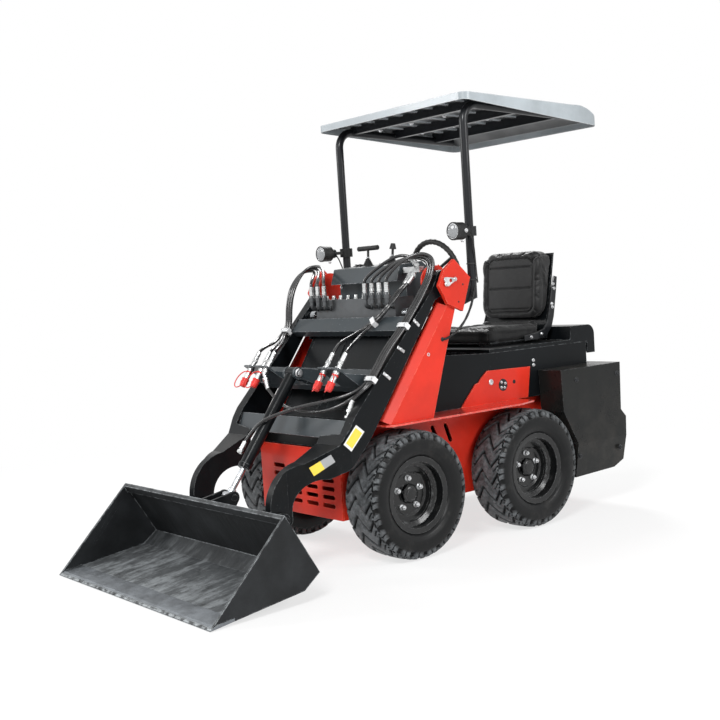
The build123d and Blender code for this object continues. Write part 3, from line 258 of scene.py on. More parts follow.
def metal(name, base, roughness, brush=0.0, radius=0.0015, rust=0.0):
    """Bare or plated metal: fine marks, smudged gloss, dull spots that may rust, and brighter edges that are a
    painted highlight.
    """
    f = Finish(name, base, roughness, 1.0)
    rounded, edge = f.edges(radius, radius * 2.0)
    smudge = f.noise(14.0, 6.0, 0.65).step(0.30, 0.75)
    shade = f.colour(smudge, tint(base, 0.72), tint(base, 1.12))
    # brighter edges: a painted highlight
    shade = f.colour(edge * 0.5, shade, tint(base, 1.35))
    spots = f.noise(38.0, 8.0, 0.7).step(0.58, 0.72)
    if rust:
        shade = f.colour(spots * rust, shade, (0.20, 0.085, 0.035))
        f.set("Metallic", 1.0 - spots * (rust * 0.85))
    f.set("Base Color", shade)
    f.set("Roughness", roughness + smudge * 0.16 + spots * (0.10 + rust * 0.4))
    marks = f.noise(90.0, 4.0, 0.6, f.stretched((1.0, 24.0, 24.0) if brush else (1.0, 1.0, 1.0)))
    f.set("Normal", f.bump(marks, 0.10 + 0.25 * brush, 0.0006, rounded))
    return f.material


def rubbery(name, base, roughness, scale, relief, dust, radius=0.002, coat=0.0, gloss=0.3):
    """Rubber or moulded plastic: grained skin, a greyish bloom, paler edges that are partly rubbed and partly a
    painted highlight, and patches of dust.
    """
    f = Finish(name, base, roughness, 0.0, coat, gloss)
    rounded, edge = f.edges(radius, radius * 2.5)
    bloom = f.noise(6.0, 6.0, 0.62).step(0.35, 0.75)
    shade = f.colour(bloom * 0.8, base, tuple(c * 0.8 + 0.032 for c in base))
    # paler edges: partly rubbed, partly a painted highlight
    shade = f.colour(edge * 0.35, shade, tuple(c * 0.7 + 0.10 for c in base))
    powder = f.noise(19.0, 7.0, 0.7).step(0.46, 0.80) * dust
    shade = f.colour(powder, shade, (0.27, 0.25, 0.225))
    f.set("Base Color", shade)
    f.set("Roughness", roughness + bloom * 0.12 + powder * 0.2)
    grain = f.noise(scale, 3.0, 0.6)
    f.set("Normal", f.bump(grain, 0.35, relief, rounded))
    return f.material


def tread_rubber(name, dust):
    """Tyre rubber: dark, turning grey on the marked lug tops, partly scuffs and partly a painted highlight, with dust
    in patches.
    """
    f = Finish(name, (0.009, 0.0095, 0.010), 0.5, 0.0, 0.0, 0.22)
    worn = f.node("ShaderNodeAttribute", {"attribute_name": "worn"}, out="Fac")
    patch = f.noise(34.0, 7.0, 0.7).step(0.34, 0.72)
    fine = f.noise(150.0, 4.0, 0.6)
    # grey on the marked lug tops: scuffed rubber and a painted highlight
    shade = f.colour(worn * (0.25 + patch * 0.75), (0.0042, 0.0046, 0.005), (0.150, 0.160, 0.168))
    powder = f.noise(11.0, 7.0, 0.7).step(0.5, 0.85) * (dust * 0.25)
    f.set("Base Color", f.colour(powder, shade, (0.20, 0.19, 0.175)))
    f.set("Roughness", 0.34 + patch * 0.12 + worn * 0.14)
    f.set("Normal", f.bump(fine, 0.25, 0.0010))
    return f.material


def leathery(name, base):
    """Coated vinyl: pebbled grain over soft folds, paler in patches, with a little dust on top."""
    f = Finish(name, base, 0.42, 0.0, 0.0, 0.24)
    pebble = f.node("ShaderNodeTexVoronoi", {"feature": "SMOOTH_F1"}, {"Vector": f.place, "Scale": 330.0})
    folds = f.noise(21.0, 5.0, 0.6)
    shade = f.colour(folds.step(0.35, 0.8), base, tuple(c + 0.012 for c in base))
    f.set("Base Color", f.colour(f.upward() * f.noise(9.0, 5.0).step(0.5, 0.8) * 0.15, shade, (0.17, 0.16, 0.15)))
    f.set("Roughness", 0.38 + folds * 0.16)
    f.set("Sheen Weight", 0.15)
    deep = f.bump(pebble, 0.45, 0.0006)
    f.set("Normal", f.bump(folds, 0.25, 0.004, deep))
    return f.material


def worn_floor(name):
    """Bucket steel: dark paint, scraped to grey metal on edges and on faces that look up, most of all at the lip."""
    f = Finish(name, (0.05, 0.053, 0.056), 0.5, 0.0, 0.0, 0.25)
    rounded, edge = f.edges(0.002, 0.008)
    scrapes = f.noise(6.0, 9.0, 0.75, f.stretched((9.0, 0.9, 0.9))).step(0.36, 0.70)
    up = f.part(f.normal(), 2).step(0.62, 0.97)
    forward = (0.0 - f.part(f.place, 1)).step(0.82, 1.02)
    blot = f.noise(4.2, 8.0, 0.72, f.stretched((2.6, 0.8, 0.8), 0.5)).step(0.40, 0.56)
    floor = up * (0.30 + forward * 0.7) * (scrapes * 0.35 + 0.65) * (1.0 - blot * 0.72)
    bare = (floor + edge * f.noise(30.0, 5.0).step(0.35, 0.6) * 0.8).math("MINIMUM", 1.0)
    shade = f.colour(f.noise(7.0, 6.0).step(0.35, 0.75), (0.0075, 0.0085, 0.0095), (0.018, 0.020, 0.022))
    steel = f.colour(f.noise(26.0, 8.0, 0.7).step(0.45, 0.7), (0.36, 0.385, 0.40), (0.17, 0.18, 0.185))
    f.set("Base Color", f.colour(bare, shade, steel))
    f.set("Metallic", bare * 0.35)
    f.set("Roughness", 0.52 - bare * 0.12 + scrapes * 0.08)
    f.set("Normal", f.bump(scrapes + f.noise(140.0, 4.0), 0.22, 0.0012, rounded))
    return f.material


def glassy(name, base):
    """Ribbed lamp lens: shallow flutes across it, each with a painted highlight band."""
    f = Finish(name, base, 0.06, 0.0, 0.6)
    flutes = f.node("ShaderNodeTexWave", {"bands_direction": "X"}, {"Vector": f.place, "Scale": 48.0})
    # paler and darker bands across the flutes: painted highlights
    f.set("Base Color", f.colour(flutes, tint(base, 0.78), tint(base, 1.1)))
    f.set("Normal", f.bump(flutes, 0.5, 0.0015))
    return f.material


def sticker(name, base, edge_colour):
    """Blank vinyl label: sheet that has faded in patches and is finely dented."""
    f = Finish(name, base, 0.38, 0.0, 0.25)
    fade = f.noise(26.0, 5.0, 0.6).step(0.35, 0.75)
    f.set("Base Color", f.colour(fade * 0.45, base, edge_colour))
    f.set("Roughness", 0.34 + fade * 0.2)
    f.set("Normal", f.bump(f.noise(60.0, 3.0), 0.12, 0.0006))
    return f.material


# ---------------------------------------------------------------- mesh helpers
def at(x, y, z):
    """Model point in metres, from x, y behind the middle of the wheelbase and z in millimetres."""
    return np.array([x, y + MID_Y, z], float) * MM


def move(mesh, points):
    """Put a mesh's vertices at these points."""
    mesh.vertices.foreach_set("co", points.ravel())
    mesh.update()


def unit(v):
    v = np.asarray(v, float)
    return v / np.linalg.norm(v)


def basis(axis):
    """Two unit vectors square to axis and to each other, the first nearest to x, or to z if the axis is along x."""
    axis = unit(axis)
    near = np.array([0.0, 0.0, 1.0] if abs(axis[0]) > 0.95 else [1.0, 0.0, 0.0])
    first = unit(near - axis * (near @ axis))
    return first, np.cross(axis, first)


def grid_faces(rows, cols, wrap_rows=False):
    """Quads between rows of cols points, each row closed round, and the last row joined to the first if they wrap."""
    r, c = np.meshgrid(np.arange(rows if wrap_rows else rows - 1), np.arange(cols), indexing="ij")
    r2, c2 = (r + 1) % rows, (c + 1) % cols
    return np.stack([r * cols + c, r * cols + c2, r2 * cols + c2, r2 * cols + c], -1).reshape(-1, 4)


def end_caps(rows, cols):
    """The first and the last row of such a grid, each as one face."""
    return [list(range(cols)), list(range((rows - 1) * cols, rows * cols))]


def coords(mesh, kind="co"):
    """Points of a mesh, or their normals, as an array."""
    found = np.empty(len(mesh.vertices) * 3)
    mesh.vertices.foreach_get(kind, found)
    return found.reshape(-1, 3)


def piece(name, verts, faces, material, body=None, smooth=True, caps=(), angle=35.0):
    """Mesh object from arrays, with its normals made to point outwards."""
    mesh = bpy.data.meshes.new(name)
    mesh.from_pydata(np.asarray(verts).reshape(-1, 3).tolist(), [], [*map(list, faces), *map(list, caps)])
    mesh.validate()
    mesh.update()
    outward(mesh)
    mesh.polygons.foreach_set("use_smooth", [smooth] * len(mesh.polygons))
    if smooth and angle:
        mesh.set_sharp_from_angle(angle=math.radians(angle))
    obj = bpy.data.objects.new(name, mesh)
    bpy.context.scene.collection.objects.link(obj)
    obj.data.materials.append(material)
    if body:
        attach(obj, body)
    return obj


def outward(mesh):
    """Merge coincident points and turn every face outwards."""
    work = bmesh.new()
    work.from_mesh(mesh)
    bmesh.ops.remove_doubles(work, verts=work.verts, dist=1e-6)
    bmesh.ops.recalc_face_normals(work, faces=work.faces)
    work.to_mesh(mesh)
    work.free()


def lathe_mesh(profile, origin, axis, segments=32, turn=0.0):
    """Radius and distance profile turned about an axis: origin + axis * distance + radius * (cos, sin)."""
    profile = np.asarray(profile, float)
    first, second = basis(axis)
    angles = np.arange(segments) / segments * 2 * np.pi + turn
    ring = np.cos(angles)[:, None] * first + np.sin(angles)[:, None] * second
    points = (np.asarray(origin, float) + profile[:, 1][:, None, None] * unit(axis)
              + profile[:, 0][:, None, None] * ring[None])
    return points.reshape(-1, 3), grid_faces(len(profile), segments), end_caps(len(profile), segments)


class Batch:
    """Gathers the arrays of like pieces, so that they become one object."""

    def __init__(self):
        self.points = []
        self.faces = []
        self.count = 0

    def add(self, points, faces, caps):
        self.faces += [(np.asarray(face) + self.count).tolist() for face in (*faces, *caps)]
        self.points.append(points)
        self.count += len(points)

    def turn(self, profile, centre, axis, segments=32, phase=0.0):
        """Turned shape whose radius and distance profile is in millimetres."""
        self.add(*lathe_mesh(np.asarray(profile, float) * MM, centre, axis, segments, phase))

    def tube(self, line, stations, sides=12):
        """Tube along a line from rows of distance and radius in millimetres."""
        self.add(*swept(line, stations, sides))

    def make(self, name, finish, body, slot=None, angle=35.0):
        slot = slot or SLOTS.get(finish, finish)
        return piece(name, np.concatenate(self.points), self.faces, FINISHES[finish], body, angle=angle)


def bolt(batch, centre, axis, across, height, turn=0.0):
    """Hexagon bolt head with a chamfered top on a round washer, sizes in millimetres."""
    r = across * 0.82
    batch.turn([(r, -0.5), (r, 1.2), (r - 0.8, 2.0), (across * 0.3, 2.0)], centre, axis, 20)
    h = height + 2.0
    r = across / math.sqrt(3)
    batch.turn([(r, 0.5), (r, h - 1.2), (r * 0.86, h)], centre, axis, 6, turn)


def lone(name, profile, centre, axis, finish, body, slot, segments):
    """A turned piece by itself."""
    batch = Batch()
    batch.turn(profile, centre, axis, segments)
    batch.make(name, finish, body, slot)


def slab_mesh(centre, along, across, length, width, thick, bevel=1.0):
    """Flat plate with bevelled rims: two rings for its foot and two for its top."""
    along, across = unit(along), unit(across)
    normal = np.cross(along, across)
    corners = np.array([(-1, -1), (1, -1), (1, 1), (-1, 1)], float)
    rings = []
    for inset, lift in ((0.0, 0.0), (0.0, thick - bevel), (bevel, thick)):
        half = np.array([length / 2 - inset, width / 2 - inset]) * MM
        rings.append(np.asarray(centre) + (corners[:, :1] * half[0]) * along
                     + (corners[:, 1:] * half[1]) * across + normal * lift * MM)
    return np.concatenate(rings), grid_faces(3, 4), end_caps(3, 4)


def ease(v, low, high):
    """0 below low, 1 above high, and smooth between them."""
    t = np.clip((v - low) / (high - low), 0, 1)
    return t * t * (3 - 2 * t)


def settings():
    return bpy.context.scene.loader_settings


FINISHES = {}
SLOTS = {"zinc": "machined_steel", "frame_paint": "black_paint"}    # finishes whose slot has another name


def dress(node, finish):
    """Give every slot of a CAD node one finish."""
    for slot in NODES[node].material_slots:
        slot.material = FINISHES[finish]


# ---------------------------------------------------------------- lines and sweeps
ARM_CORNER = np.array([-200.0, 1192.0])
ARM_WAY = unit([-490.0, -516.0])
COUPLER_TOP = np.array([-662.0, 906.0])
COUPLER_WAY = unit([-86.0, -117.0])
TILT_TOP = np.array([-669.0, 853.0])
TILT_WAY = unit([-391.0, -508.0])
BEAM_LOW = np.array([-372.0, 1021.0])
BEAM_HIGH = np.array([-322.0, 1082.0])


def along(start, way, run, lift):
    """y and z of a point run along a line and lift to its front side."""
    return (start[0] + way[0] * run + way[1] * lift, start[1] + way[1] * run - way[0] * lift)


def on_arm(run, lift):
    return along(ARM_CORNER, ARM_WAY, run, lift)


def on_coupler(run, lift):
    return along(COUPLER_TOP, COUPLER_WAY, run, lift)


def on_tilt(run, lift):
    return along(TILT_TOP, TILT_WAY, run, lift)


def on_beam(x, run, lift):
    slope = unit(BEAM_HIGH - BEAM_LOW)
    middle = (BEAM_LOW + BEAM_HIGH) / 2
    return (x, middle[0] + slope[0] * run - slope[1] * lift, middle[1] + slope[1] * run + slope[0] * lift)


def travelled(points):
    """Distance along a row of points up to each of them."""
    return np.concatenate([[0.0], np.cumsum(np.linalg.norm(np.diff(points, axis=0), axis=1))])


class Line:
    """Points read back from a NURBS spline, looked up by the distance along it in millimetres."""

    def __init__(self, name, points):
        curve = bpy.data.curves.new(name, "CURVE")
        curve.dimensions = "3D"
        spline = curve.splines.new("NURBS")
        spline.points.add(len(points) - 1)
        places = np.array([at(*p) for p in points])
        spline.points.foreach_set("co", np.column_stack([places, np.ones(len(places))]).ravel())
        spline.order_u = 3
        spline.use_endpoint_u = True
        curve.resolution_u = 10
        holder = bpy.data.objects.new(name, curve)
        mesh = bpy.data.meshes.new_from_object(holder)
        self.points = coords(mesh)
        bpy.data.objects.remove(holder)
        bpy.data.curves.remove(curve)
        bpy.data.meshes.remove(mesh)
        self.points = self.points[np.diff(travelled(self.points), prepend=-1.0) > 1e-7]
        self.run = travelled(self.points) / MM
        self.length = self.run[-1]

    def places(self, runs):
        return np.stack([np.interp(runs, self.run, self.points[:, k]) for k in range(3)], -1)

    def nearest(self, point):
        """Distance along the line of the place nearest to a point."""
        return self.run[np.argmin(np.linalg.norm(self.points - point, axis=1))]


def swept(line, stations, sides=12):
    """Tube of changing radius: a ring for each distance and radius, straight on beyond the line's ends."""
    stations = np.asarray(stations, float)
    runs = stations[:, 0]
    centres = line.places(runs)
    inside = np.clip(runs, 0.0, line.length)
    before = line.places(np.clip(inside - 3.0, 0.0, line.length))
    after = line.places(np.clip(inside + 3.0, 0.0, line.length))
    ways = after - before
    ways /= np.linalg.norm(ways, axis=1)[:, None]
    first = basis(ways[0])[0]
    firsts = []
    for way in ways:
        first = unit(first - way * (first @ way))
        firsts.append(first)
    firsts = np.array(firsts)
    seconds = np.cross(ways, firsts)
    out = np.clip(runs, None, 0.0) + np.clip(runs - line.length, 0.0, None)
    centres = centres + ways * (out * MM)[:, None]
    turns = np.arange(sides) / sides * 2 * np.pi
    ring = np.cos(turns)[None, :, None] * firsts[:, None] + np.sin(turns)[None, :, None] * seconds[:, None]
    points = centres[:, None] + ring * (stations[:, 1] * MM)[:, None, None]
    return points.reshape(-1, 3), grid_faces(len(runs), sides), end_caps(len(runs), sides)


def hose_piece(name, line, start, end):
    """Length of hose between two distances along its line."""
    inner = line.run[(line.run > start + 1.0) & (line.run < end - 1.0)]
    runs = np.concatenate([[start], inner, [end]])
    points, faces, caps = swept(line, np.column_stack([runs, np.full(len(runs), settings().hose_radius / MM)]), 14)
    return piece(name, points, faces, FINISHES["hose_rubber"], caps=caps, angle=60)


# distance from the hose's end and radius of a crimped sleeve, in millimetres
CRIMP = [(-2, 9.0), (5, 9.0), (5.5, 12.0), (12, 12.0), (12.5, 10.9), (20, 10.9), (20.6, 10.1), (22.4, 10.1),
         (23, 10.9), (31, 10.9), (31.6, 10.1), (33.4, 10.1), (34, 10.9), (43, 10.7), (45, 8.2)]


def crimp(batch, line, at_end=False):
    """Bright crimped sleeve and hexagon nut on the end of a hose."""
    stations = np.array(CRIMP, float)
    if at_end:
        stations = np.column_stack([line.length - stations[:, 0], stations[:, 1]])[::-1]
        nut = [(line.length - 1, 13.4), (line.length + 11, 13.4), (line.length + 12.5, 11.8)]
    else:
        nut = [(-12.5, 11.8), (-11, 13.4), (1, 13.4)]
    batch.tube(line, stations, 16)
    batch.tube(line, nut, 6)


# ---------------------------------------------------------------- operators
class StageOperator(bpy.types.Operator):
    """Make the floor, the lights, the world and the camera"""

    bl_idname = "loader.stage"
    bl_label = "Stage"

    def execute(self, context):
        scene = context.scene
        scene.view_settings.view_transform = "Standard"
        scene.world = bpy.data.worlds.new("studio")
        sky = Nodes(scene.world)
        soft, bright = (sky.node("ShaderNodeBackground", {}, {0: WHITE, 1: strength}) for strength in (0.34, 1.0))
        seen = sky.seen("Is Camera Ray", "Is Glossy Ray", "Is Transmission Ray")
        sky.node("ShaderNodeOutputWorld", {},
                 {0: sky.node("ShaderNodeMixShader", {}, {0: seen, 1: soft, 2: bright})})

        f = Finish("pale_floor", (0.93, 0.93, 0.93), 0.9)
        f.set("Base Color", f.colour(f.noise(1.5, 3.0), (0.92, 0.92, 0.92), (0.95, 0.95, 0.95)))
        ray = f.seen("Is Camera Ray", "Is Glossy Ray")
        far = f.node("ShaderNodeVectorMath", {"operation": "LENGTH"}, {0: f.place}, "Value").step(1.7, 4.2)
        share = (ray * far).math("MAXIMUM", ray * 0.7)
        glow = f.node("ShaderNodeEmission")
        f.put(f.out.inputs[0], f.node("ShaderNodeMixShader", {}, {0: share, 1: f.surface, 2: glow}))
        turns = np.linspace(0, 2 * np.pi, 96, endpoint=False)
        rim = np.column_stack([np.cos(turns), np.sin(turns), np.zeros(96)])
        points = np.concatenate([rim * r for r in (2.0, 12.0, 400.0)])
        piece("studio_floor", points, grid_faces(3, 96), f.material, smooth=False, caps=[list(range(96))])

        for name, place, size, power in (
            ("key", (3.4, -4.6, 4.8), 1.9, 330.0),
            ("fill", (5.2, 1.6, 3.2), 2.2, 130.0),
            ("back", (-3.2, 3.0, 4.8), 2.0, 190.0),
            ("left", (-3.8, -4.4, 3.2), 1.8, 130.0),
        ):
            lamp = bpy.data.lights.new(name, "AREA")
            lamp.shape = "DISK"
            lamp.size = size
            lamp.energy = power
            obj = bpy.data.objects.new(name, lamp)
            obj.location = place
            obj.rotation_euler = (Vector((0.0, 0.0, 0.8)) - Vector(place)).to_track_quat("-Z", "Y").to_euler()
            scene.collection.objects.link(obj)

        place = (4.1754, -3.3922, 1.2377)
        yaw, pitch, roll = (math.radians(v) for v in (-50.481, -4.0645, -3.6758))
        forward = np.array([math.sin(yaw) * math.cos(pitch), math.cos(yaw) * math.cos(pitch), math.sin(pitch)])
        level = np.array([math.cos(yaw), -math.sin(yaw), 0.0])
        over = np.cross(level, forward)
        right = math.cos(roll) * level + math.sin(roll) * over
        up = -math.sin(roll) * level + math.cos(roll) * over
        data = bpy.data.cameras.new("camera")
        data.sensor_width = 36.0
        data.lens = 55.828
        data.shift_x = -0.0179
        data.shift_y = 0.00425
        data.clip_end = 1000.0
        camera = bpy.data.objects.new("camera", data)
        matrix = np.eye(4)
        matrix[:3, 0], matrix[:3, 1], matrix[:3, 2] = right, up, -forward
        matrix[:3, 3] = place
        camera.matrix_world = Matrix(matrix.tolist())
        scene.collection.objects.link(camera)
        scene.camera = camera
        return {"FINISHED"}


# name, base colour or setting, roughness, coat, dust, wear, dirt low down, rubbed colour, edge radius, gloss; wear
# and the rubbed colour also paint a highlight along edges
PAINTS = {
    "red_paint": ("orange_red_paint", "body_colour", 0.34, 0.15, 0.6, 0.8, 0.18, (0.95, 0.30, 0.20), 0.002, 0.22),
    "fender_paint": ("fender_paint", "body_colour", 0.24, 0.9, 0.3, 0.9, 0.1, (0.95, 0.45, 0.36), 0.002, 0.6),
    "black_paint": ("black_paint", "arm_colour", 0.26, 0.06, 0.25, 0.75, 0.15, (0.30, 0.32, 0.33), 0.002, 0.10),
    # a paler copy of the black boom paint: painted reflection on the faces of the crossmembers and the dash, with
    # scratches of real wear
    "beam_paint": ("beam_paint", (0.036, 0.045, 0.051), 0.34, 0.2, 0.6, 1.0, 0.1, (0.52, 0.54, 0.56), 0.002, 0.18),
    "grey_paint": ("counterweight_paint", "tail_colour", 0.22, 0.10, 0.5, 0.4, 0.3, (0.25, 0.26, 0.27),
                   0.003, 0.14),
    "rim_paint": ("wheel_rim_paint", (0.0035, 0.004, 0.0045), 0.16, 0.30, 0.15, 0.35, 0.1, (0.34, 0.35, 0.355),
                  0.003, 0.30),
    "frame_paint": ("canopy_frame_paint", (0.009, 0.010, 0.012), 0.33, 0.25, 0.5, 0.35, 0.0, (0.25, 0.26, 0.27),
                    0.002, 0.15),
}
# name, base colour, roughness, brushing, edge radius, rust
METALS = {
    "worn_steel": ("worn_edge_steel", (0.20, 0.215, 0.23), 0.46, 0.6, 0.002, 0.12),
    "machined_steel": ("machined_steel", (0.62, 0.63, 0.64), 0.26, 0.3),
    "chrome": ("chromed_rod", (0.52, 0.54, 0.56), 0.16),
    "plated_steel": ("plated_fitting", (0.66, 0.67, 0.67), 0.24, 0.0, 0.001, 0.06),
    "zinc": ("zinc_bolt", (0.66, 0.67, 0.68), 0.30, 0.0, 0.001, 0.15),
    "cast_iron": ("cast_iron", (0.12, 0.125, 0.13), 0.55, 0.0, 0.003, 0.25),
    "cast_aluminium": ("cast_aluminium", (0.45, 0.46, 0.47), 0.50, 0.0, 0.003),
    "bowl": ("lamp_reflector", (0.86, 0.86, 0.86), 0.12),
}
# name, base colour, roughness, grain scale and relief, dust, edge radius, coat, gloss
RUBBERS = {
    "hose_rubber": ("hose_rubber", (0.006, 0.006, 0.007), 0.22, 420.0, 0.0002, 0.04, 0.0005, 0.6, 0.4),
    "black_plastic": ("black_plastic", (0.010, 0.0105, 0.011), 0.42, 520.0, 0.0004, 0.12, 0.0015, 0.0, 0.18),
    "clamp_plastic": ("white_clamp", (0.78, 0.79, 0.80), 0.38, 300.0, 0.0003, 0.20, 0.0012),
    "cap_plastic": ("red_cap", (0.72, 0.030, 0.022), 0.36, 260.0, 0.0004, 0.12, 0.0012),
}
# name, sheet colour, faded colour
STICKERS = {
    "label_yellow": ("yellow_label", (0.88, 0.66, 0.04), (0.80, 0.62, 0.18)),
    "label_white": ("white_label", (0.82, 0.82, 0.80), (0.62, 0.61, 0.58)),
    "label_grey": ("grey_label", (0.36, 0.37, 0.38), (0.28, 0.28, 0.28)),
}


class FinishOperator(bpy.types.Operator):
    """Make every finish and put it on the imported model's nodes"""

    bl_idname = "loader.finishes"
    bl_label = "Finishes"

    def execute(self, context):
        s = settings()
        for key, (name, base, roughness, coat, dust, *rest) in PAINTS.items():
            base = tuple(getattr(s, base)) if isinstance(base, str) else base
            FINISHES[key] = painted(name, base, roughness, coat, s.dust * dust, *rest)
        for kind, table in ((metal, METALS), (rubbery, RUBBERS), (sticker, STICKERS)):
            for key, row in table.items():
                FINISHES[key] = kind(*row)
        FINISHES.update(
            bucket_paint=worn_floor("bucket_steel"), tyre=tread_rubber("tyre_rubber", s.dust),
            vinyl=leathery("seat_vinyl", (0.005, 0.0052, 0.0056)), lens=glassy("lamp_lens", (0.26, 0.27, 0.28)))
        roof = tuple(s.roof_colour)
        f = Finish("roof_plastic", roof, 0.40, 0.0, 0.2)
        rounded, edge = f.edges(0.003, 0.008)
        # faces that look down get a near-black colour: painted shade under the roof
        down = (0.0 - f.part(f.normal(), 2)).step(0.35, 0.8)
        cloud = f.noise(3.0, 6.0, 0.6).step(0.35, 0.72)
        top = f.colour(cloud, tint(roof, 0.82), tint(roof, 1.15))
        under_shade = f.colour(f.noise(5.0, 5.0).step(0.4, 0.7), (0.030, 0.032, 0.034), (0.070, 0.073, 0.076))
        # paler edges: a painted highlight
        f.set("Base Color", f.colour(edge * 0.4, f.colour(down, top, under_shade), (0.75, 0.77, 0.78)))
        f.set("Roughness", 0.34 + cloud * 0.18)
        f.set("Normal", f.bump(f.noise(180.0, 3.0), 0.15, 0.0006, rounded))
        FINISHES["roof_plastic"] = f.material

        for node in NODES.values():
            for place in node.material_slots:
                place.material = FINISHES[place.material.name.split(".")[0]]
        for node, finish in (
            ("boom_crossmembers", "beam_paint"), ("console", "beam_paint"), ("fenders", "fender_paint"),
            ("bucket", "bucket_paint"), ("canopy_frame", "frame_paint"),
        ):
            dress(node, finish)
        return {"FINISHED"}


class HoseOperator(bpy.types.Operator):
    """Hydraulic hoses, their crimped ends, and the loops that hold the dust caps"""

    bl_idname = "loader.hoses"
    bl_label = "Hoses"

    def execute(self, context):
        chassis_ends, boom_ends = Batch(), Batch()

        def arched(hand, k, line, first_clamp):
            """Hose from the valve: an arch as far as its first clamp, and a length that rides the boom from there."""
            clamp = line.nearest(first_clamp)
            arch = hose_piece(f"hose_{hand}_arch_{k}", line, 0.0, clamp)
            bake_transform(arch)
            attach(hose_piece(f"hose_{hand}_run_{k}", line, clamp, line.length), "boom")
            crimp(chassis_ends, line)
            crimp(boom_ends, line, True)
            return arch

        # share of the way from the valve's port to the lane on the arm, y, z, and rise of each hose over the last
        near_arch = [
            (0.0, -320, 1196, 0), (0.0, -320, 1230, 0), (0.0, -320, 1262, 0), (0.42, -270, 1328, 5),
            (0.76, -206, 1350, 8), (1.0, -166, 1318, 8), (1.0, -190, 1248, 2), (1.0, *on_arm(70, 20), 0),
            (1.0, *on_arm(190, 16), 0), (1.0, *on_arm(254, 16), 0), (1.0, *on_arm(372, 26), 0),
            (1.0, *on_arm(492, 15), 0), (1.0, *on_arm(554, 15), 0),
        ]
        far_arch = [
            (0.0, -320, 1196, 0), (0.0, -320, 1230, 0), (0.0, -320, 1262, 0), (0.42, -240, 1318, -8),
            (0.78, -200, 1346, -12), (1.0, -250, 1336, -8), (1.0, -326, 1245, 0), (1.0, -356, 1150, 0),
            (1.0, *on_arm(215, 20), 0), (1.0, *on_arm(275, 20), 0),
        ]
        far_tail = [(0.35, -480, 975), (0.78, -566, 968), (1.0, *on_coupler(-55, 0)), (1.0, *on_coupler(-28, 0)),
                    (1.0, *on_coupler(0, 0))]
        union_low = np.array([-185.0, *on_coupler(70, 0)])
        union_dir = unit([0.393, -0.06, -0.918])
        union_end = union_low + union_dir * STUB
        arm_port_dir = unit([12.0, 24.0, 72.0])
        arm_port_end = np.array([392.0, -676.0, 668.0]) + arm_port_dir * STUB
        near_tails = [
            [(398, -652, 768), (318, -738, 740), (205, -784, 722), (95, -826, 690), (8, -878, 652),
             (-30, *on_tilt(370, 38)), (-30, *on_tilt(402, 38)), (-30, *on_tilt(432, 38))],
            [(414, -628, 764), (330, -662, 712), (190, -676, 680), (50, -684, 676), (-70, -700, 704),
             tuple(union_end + union_dir * 46), tuple(union_end + union_dir * 22), tuple(union_end)],
            [(436, -622, 776), tuple(arm_port_end + arm_port_dir * 43), tuple(arm_port_end + arm_port_dir * 20),
             tuple(arm_port_end)],
        ]
        for k, (start, lane) in enumerate(((183, 420), (235, 437), (287, 454))):
            route = [(start + (lane - start) * share, y, z + rise * k) for share, y, z, rise in near_arch]
            line = Line(f"near_line_{k}", route + near_tails[k])
            arch = arched("near", k, line, at(lane, *on_arm(222, 16)))
            if k == 0:
                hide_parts("boom_hoses")
        for k, (start, lane, end) in enumerate(((-183, -420, -185), (-235, -437, -222), (-287, -454, -314))):
            route = [(start + (lane - start) * share, y, z + rise * k) for share, y, z, rise in far_arch]
            route += [(lane + (end - lane) * share, y, z) for share, y, z in far_tail]
            line = Line(f"far_line_{k}", route)
            arched("far", k, line, at(lane, *on_arm(245, 20)))

        c, s = math.cos(math.radians(50)), math.sin(math.radians(50))

        def beam_point(lane, run):
            """Place on the upper beam that a branch crosses at 50 degrees, lane to the side and run along it."""
            return on_beam(228.0 - s * lane - c * run, c * lane - s * run, 14)

        tee_dir = np.array([-0.66, -0.7513])
        for k, (x, lane, knee, tail) in enumerate((
            (316, 9.2, (292, -336, 1122), [(206, -462, 1010), (248, -580, 985), (268, *on_coupler(-55, 0)),
                                           (268, *on_coupler(-28, 0)), (268, *on_coupler(0, 0))]),
            (338, -9.2, (314, -346, 1116), [(240, -458, 1000), (300, -560, 968), (357, *on_coupler(-55, 0)),
                                            (357, *on_coupler(-28, 0)), (357, *on_coupler(0, 0))]),
        )):
            low, mid, high = (
                (x - inboard, -175 + tee_dir[0] * run, 1290 + tee_dir[1] * run)
                for run, inboard in ((40, 0), (82, 0), (125, 22)))
            line = Line(f"tee_line_{k}", [low, mid, high, knee, beam_point(lane, -34), beam_point(lane, 34), *tail])
            run = hose_piece(f"hose_branch_{k}", line, 0.0, line.length)
            at(x, -225, 1220)
            at(x, -340, 1090)
            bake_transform(run)
            crimp(chassis_ends, line)
            crimp(boom_ends, line, True)

        riser_dir = unit([-0.45, -0.35, 0.82])
        riser_end = np.array([358.0, -175.0, 1290.0]) + riser_dir * 28
        line = Line("riser_line", [
            (131, -320, 1196), (131, -320, 1230), (131, -320, 1262), (215, -277, 1324), (280, -236, 1360),
            tuple(riser_end + riser_dir * 50), tuple(riser_end + riser_dir * 24), tuple(riser_end)])
        riser = hose_piece("hose_supply", line, 0.0, line.length)
        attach(riser, "chassis")
        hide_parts("supply_hose")
        crimp(chassis_ends, line)
        crimp(chassis_ends, line, True)
        chassis_ends.make("hose_ends_valve", "plated_steel", "chassis")
        boom_ends.make("hose_ends_boom", "plated_steel", "boom")

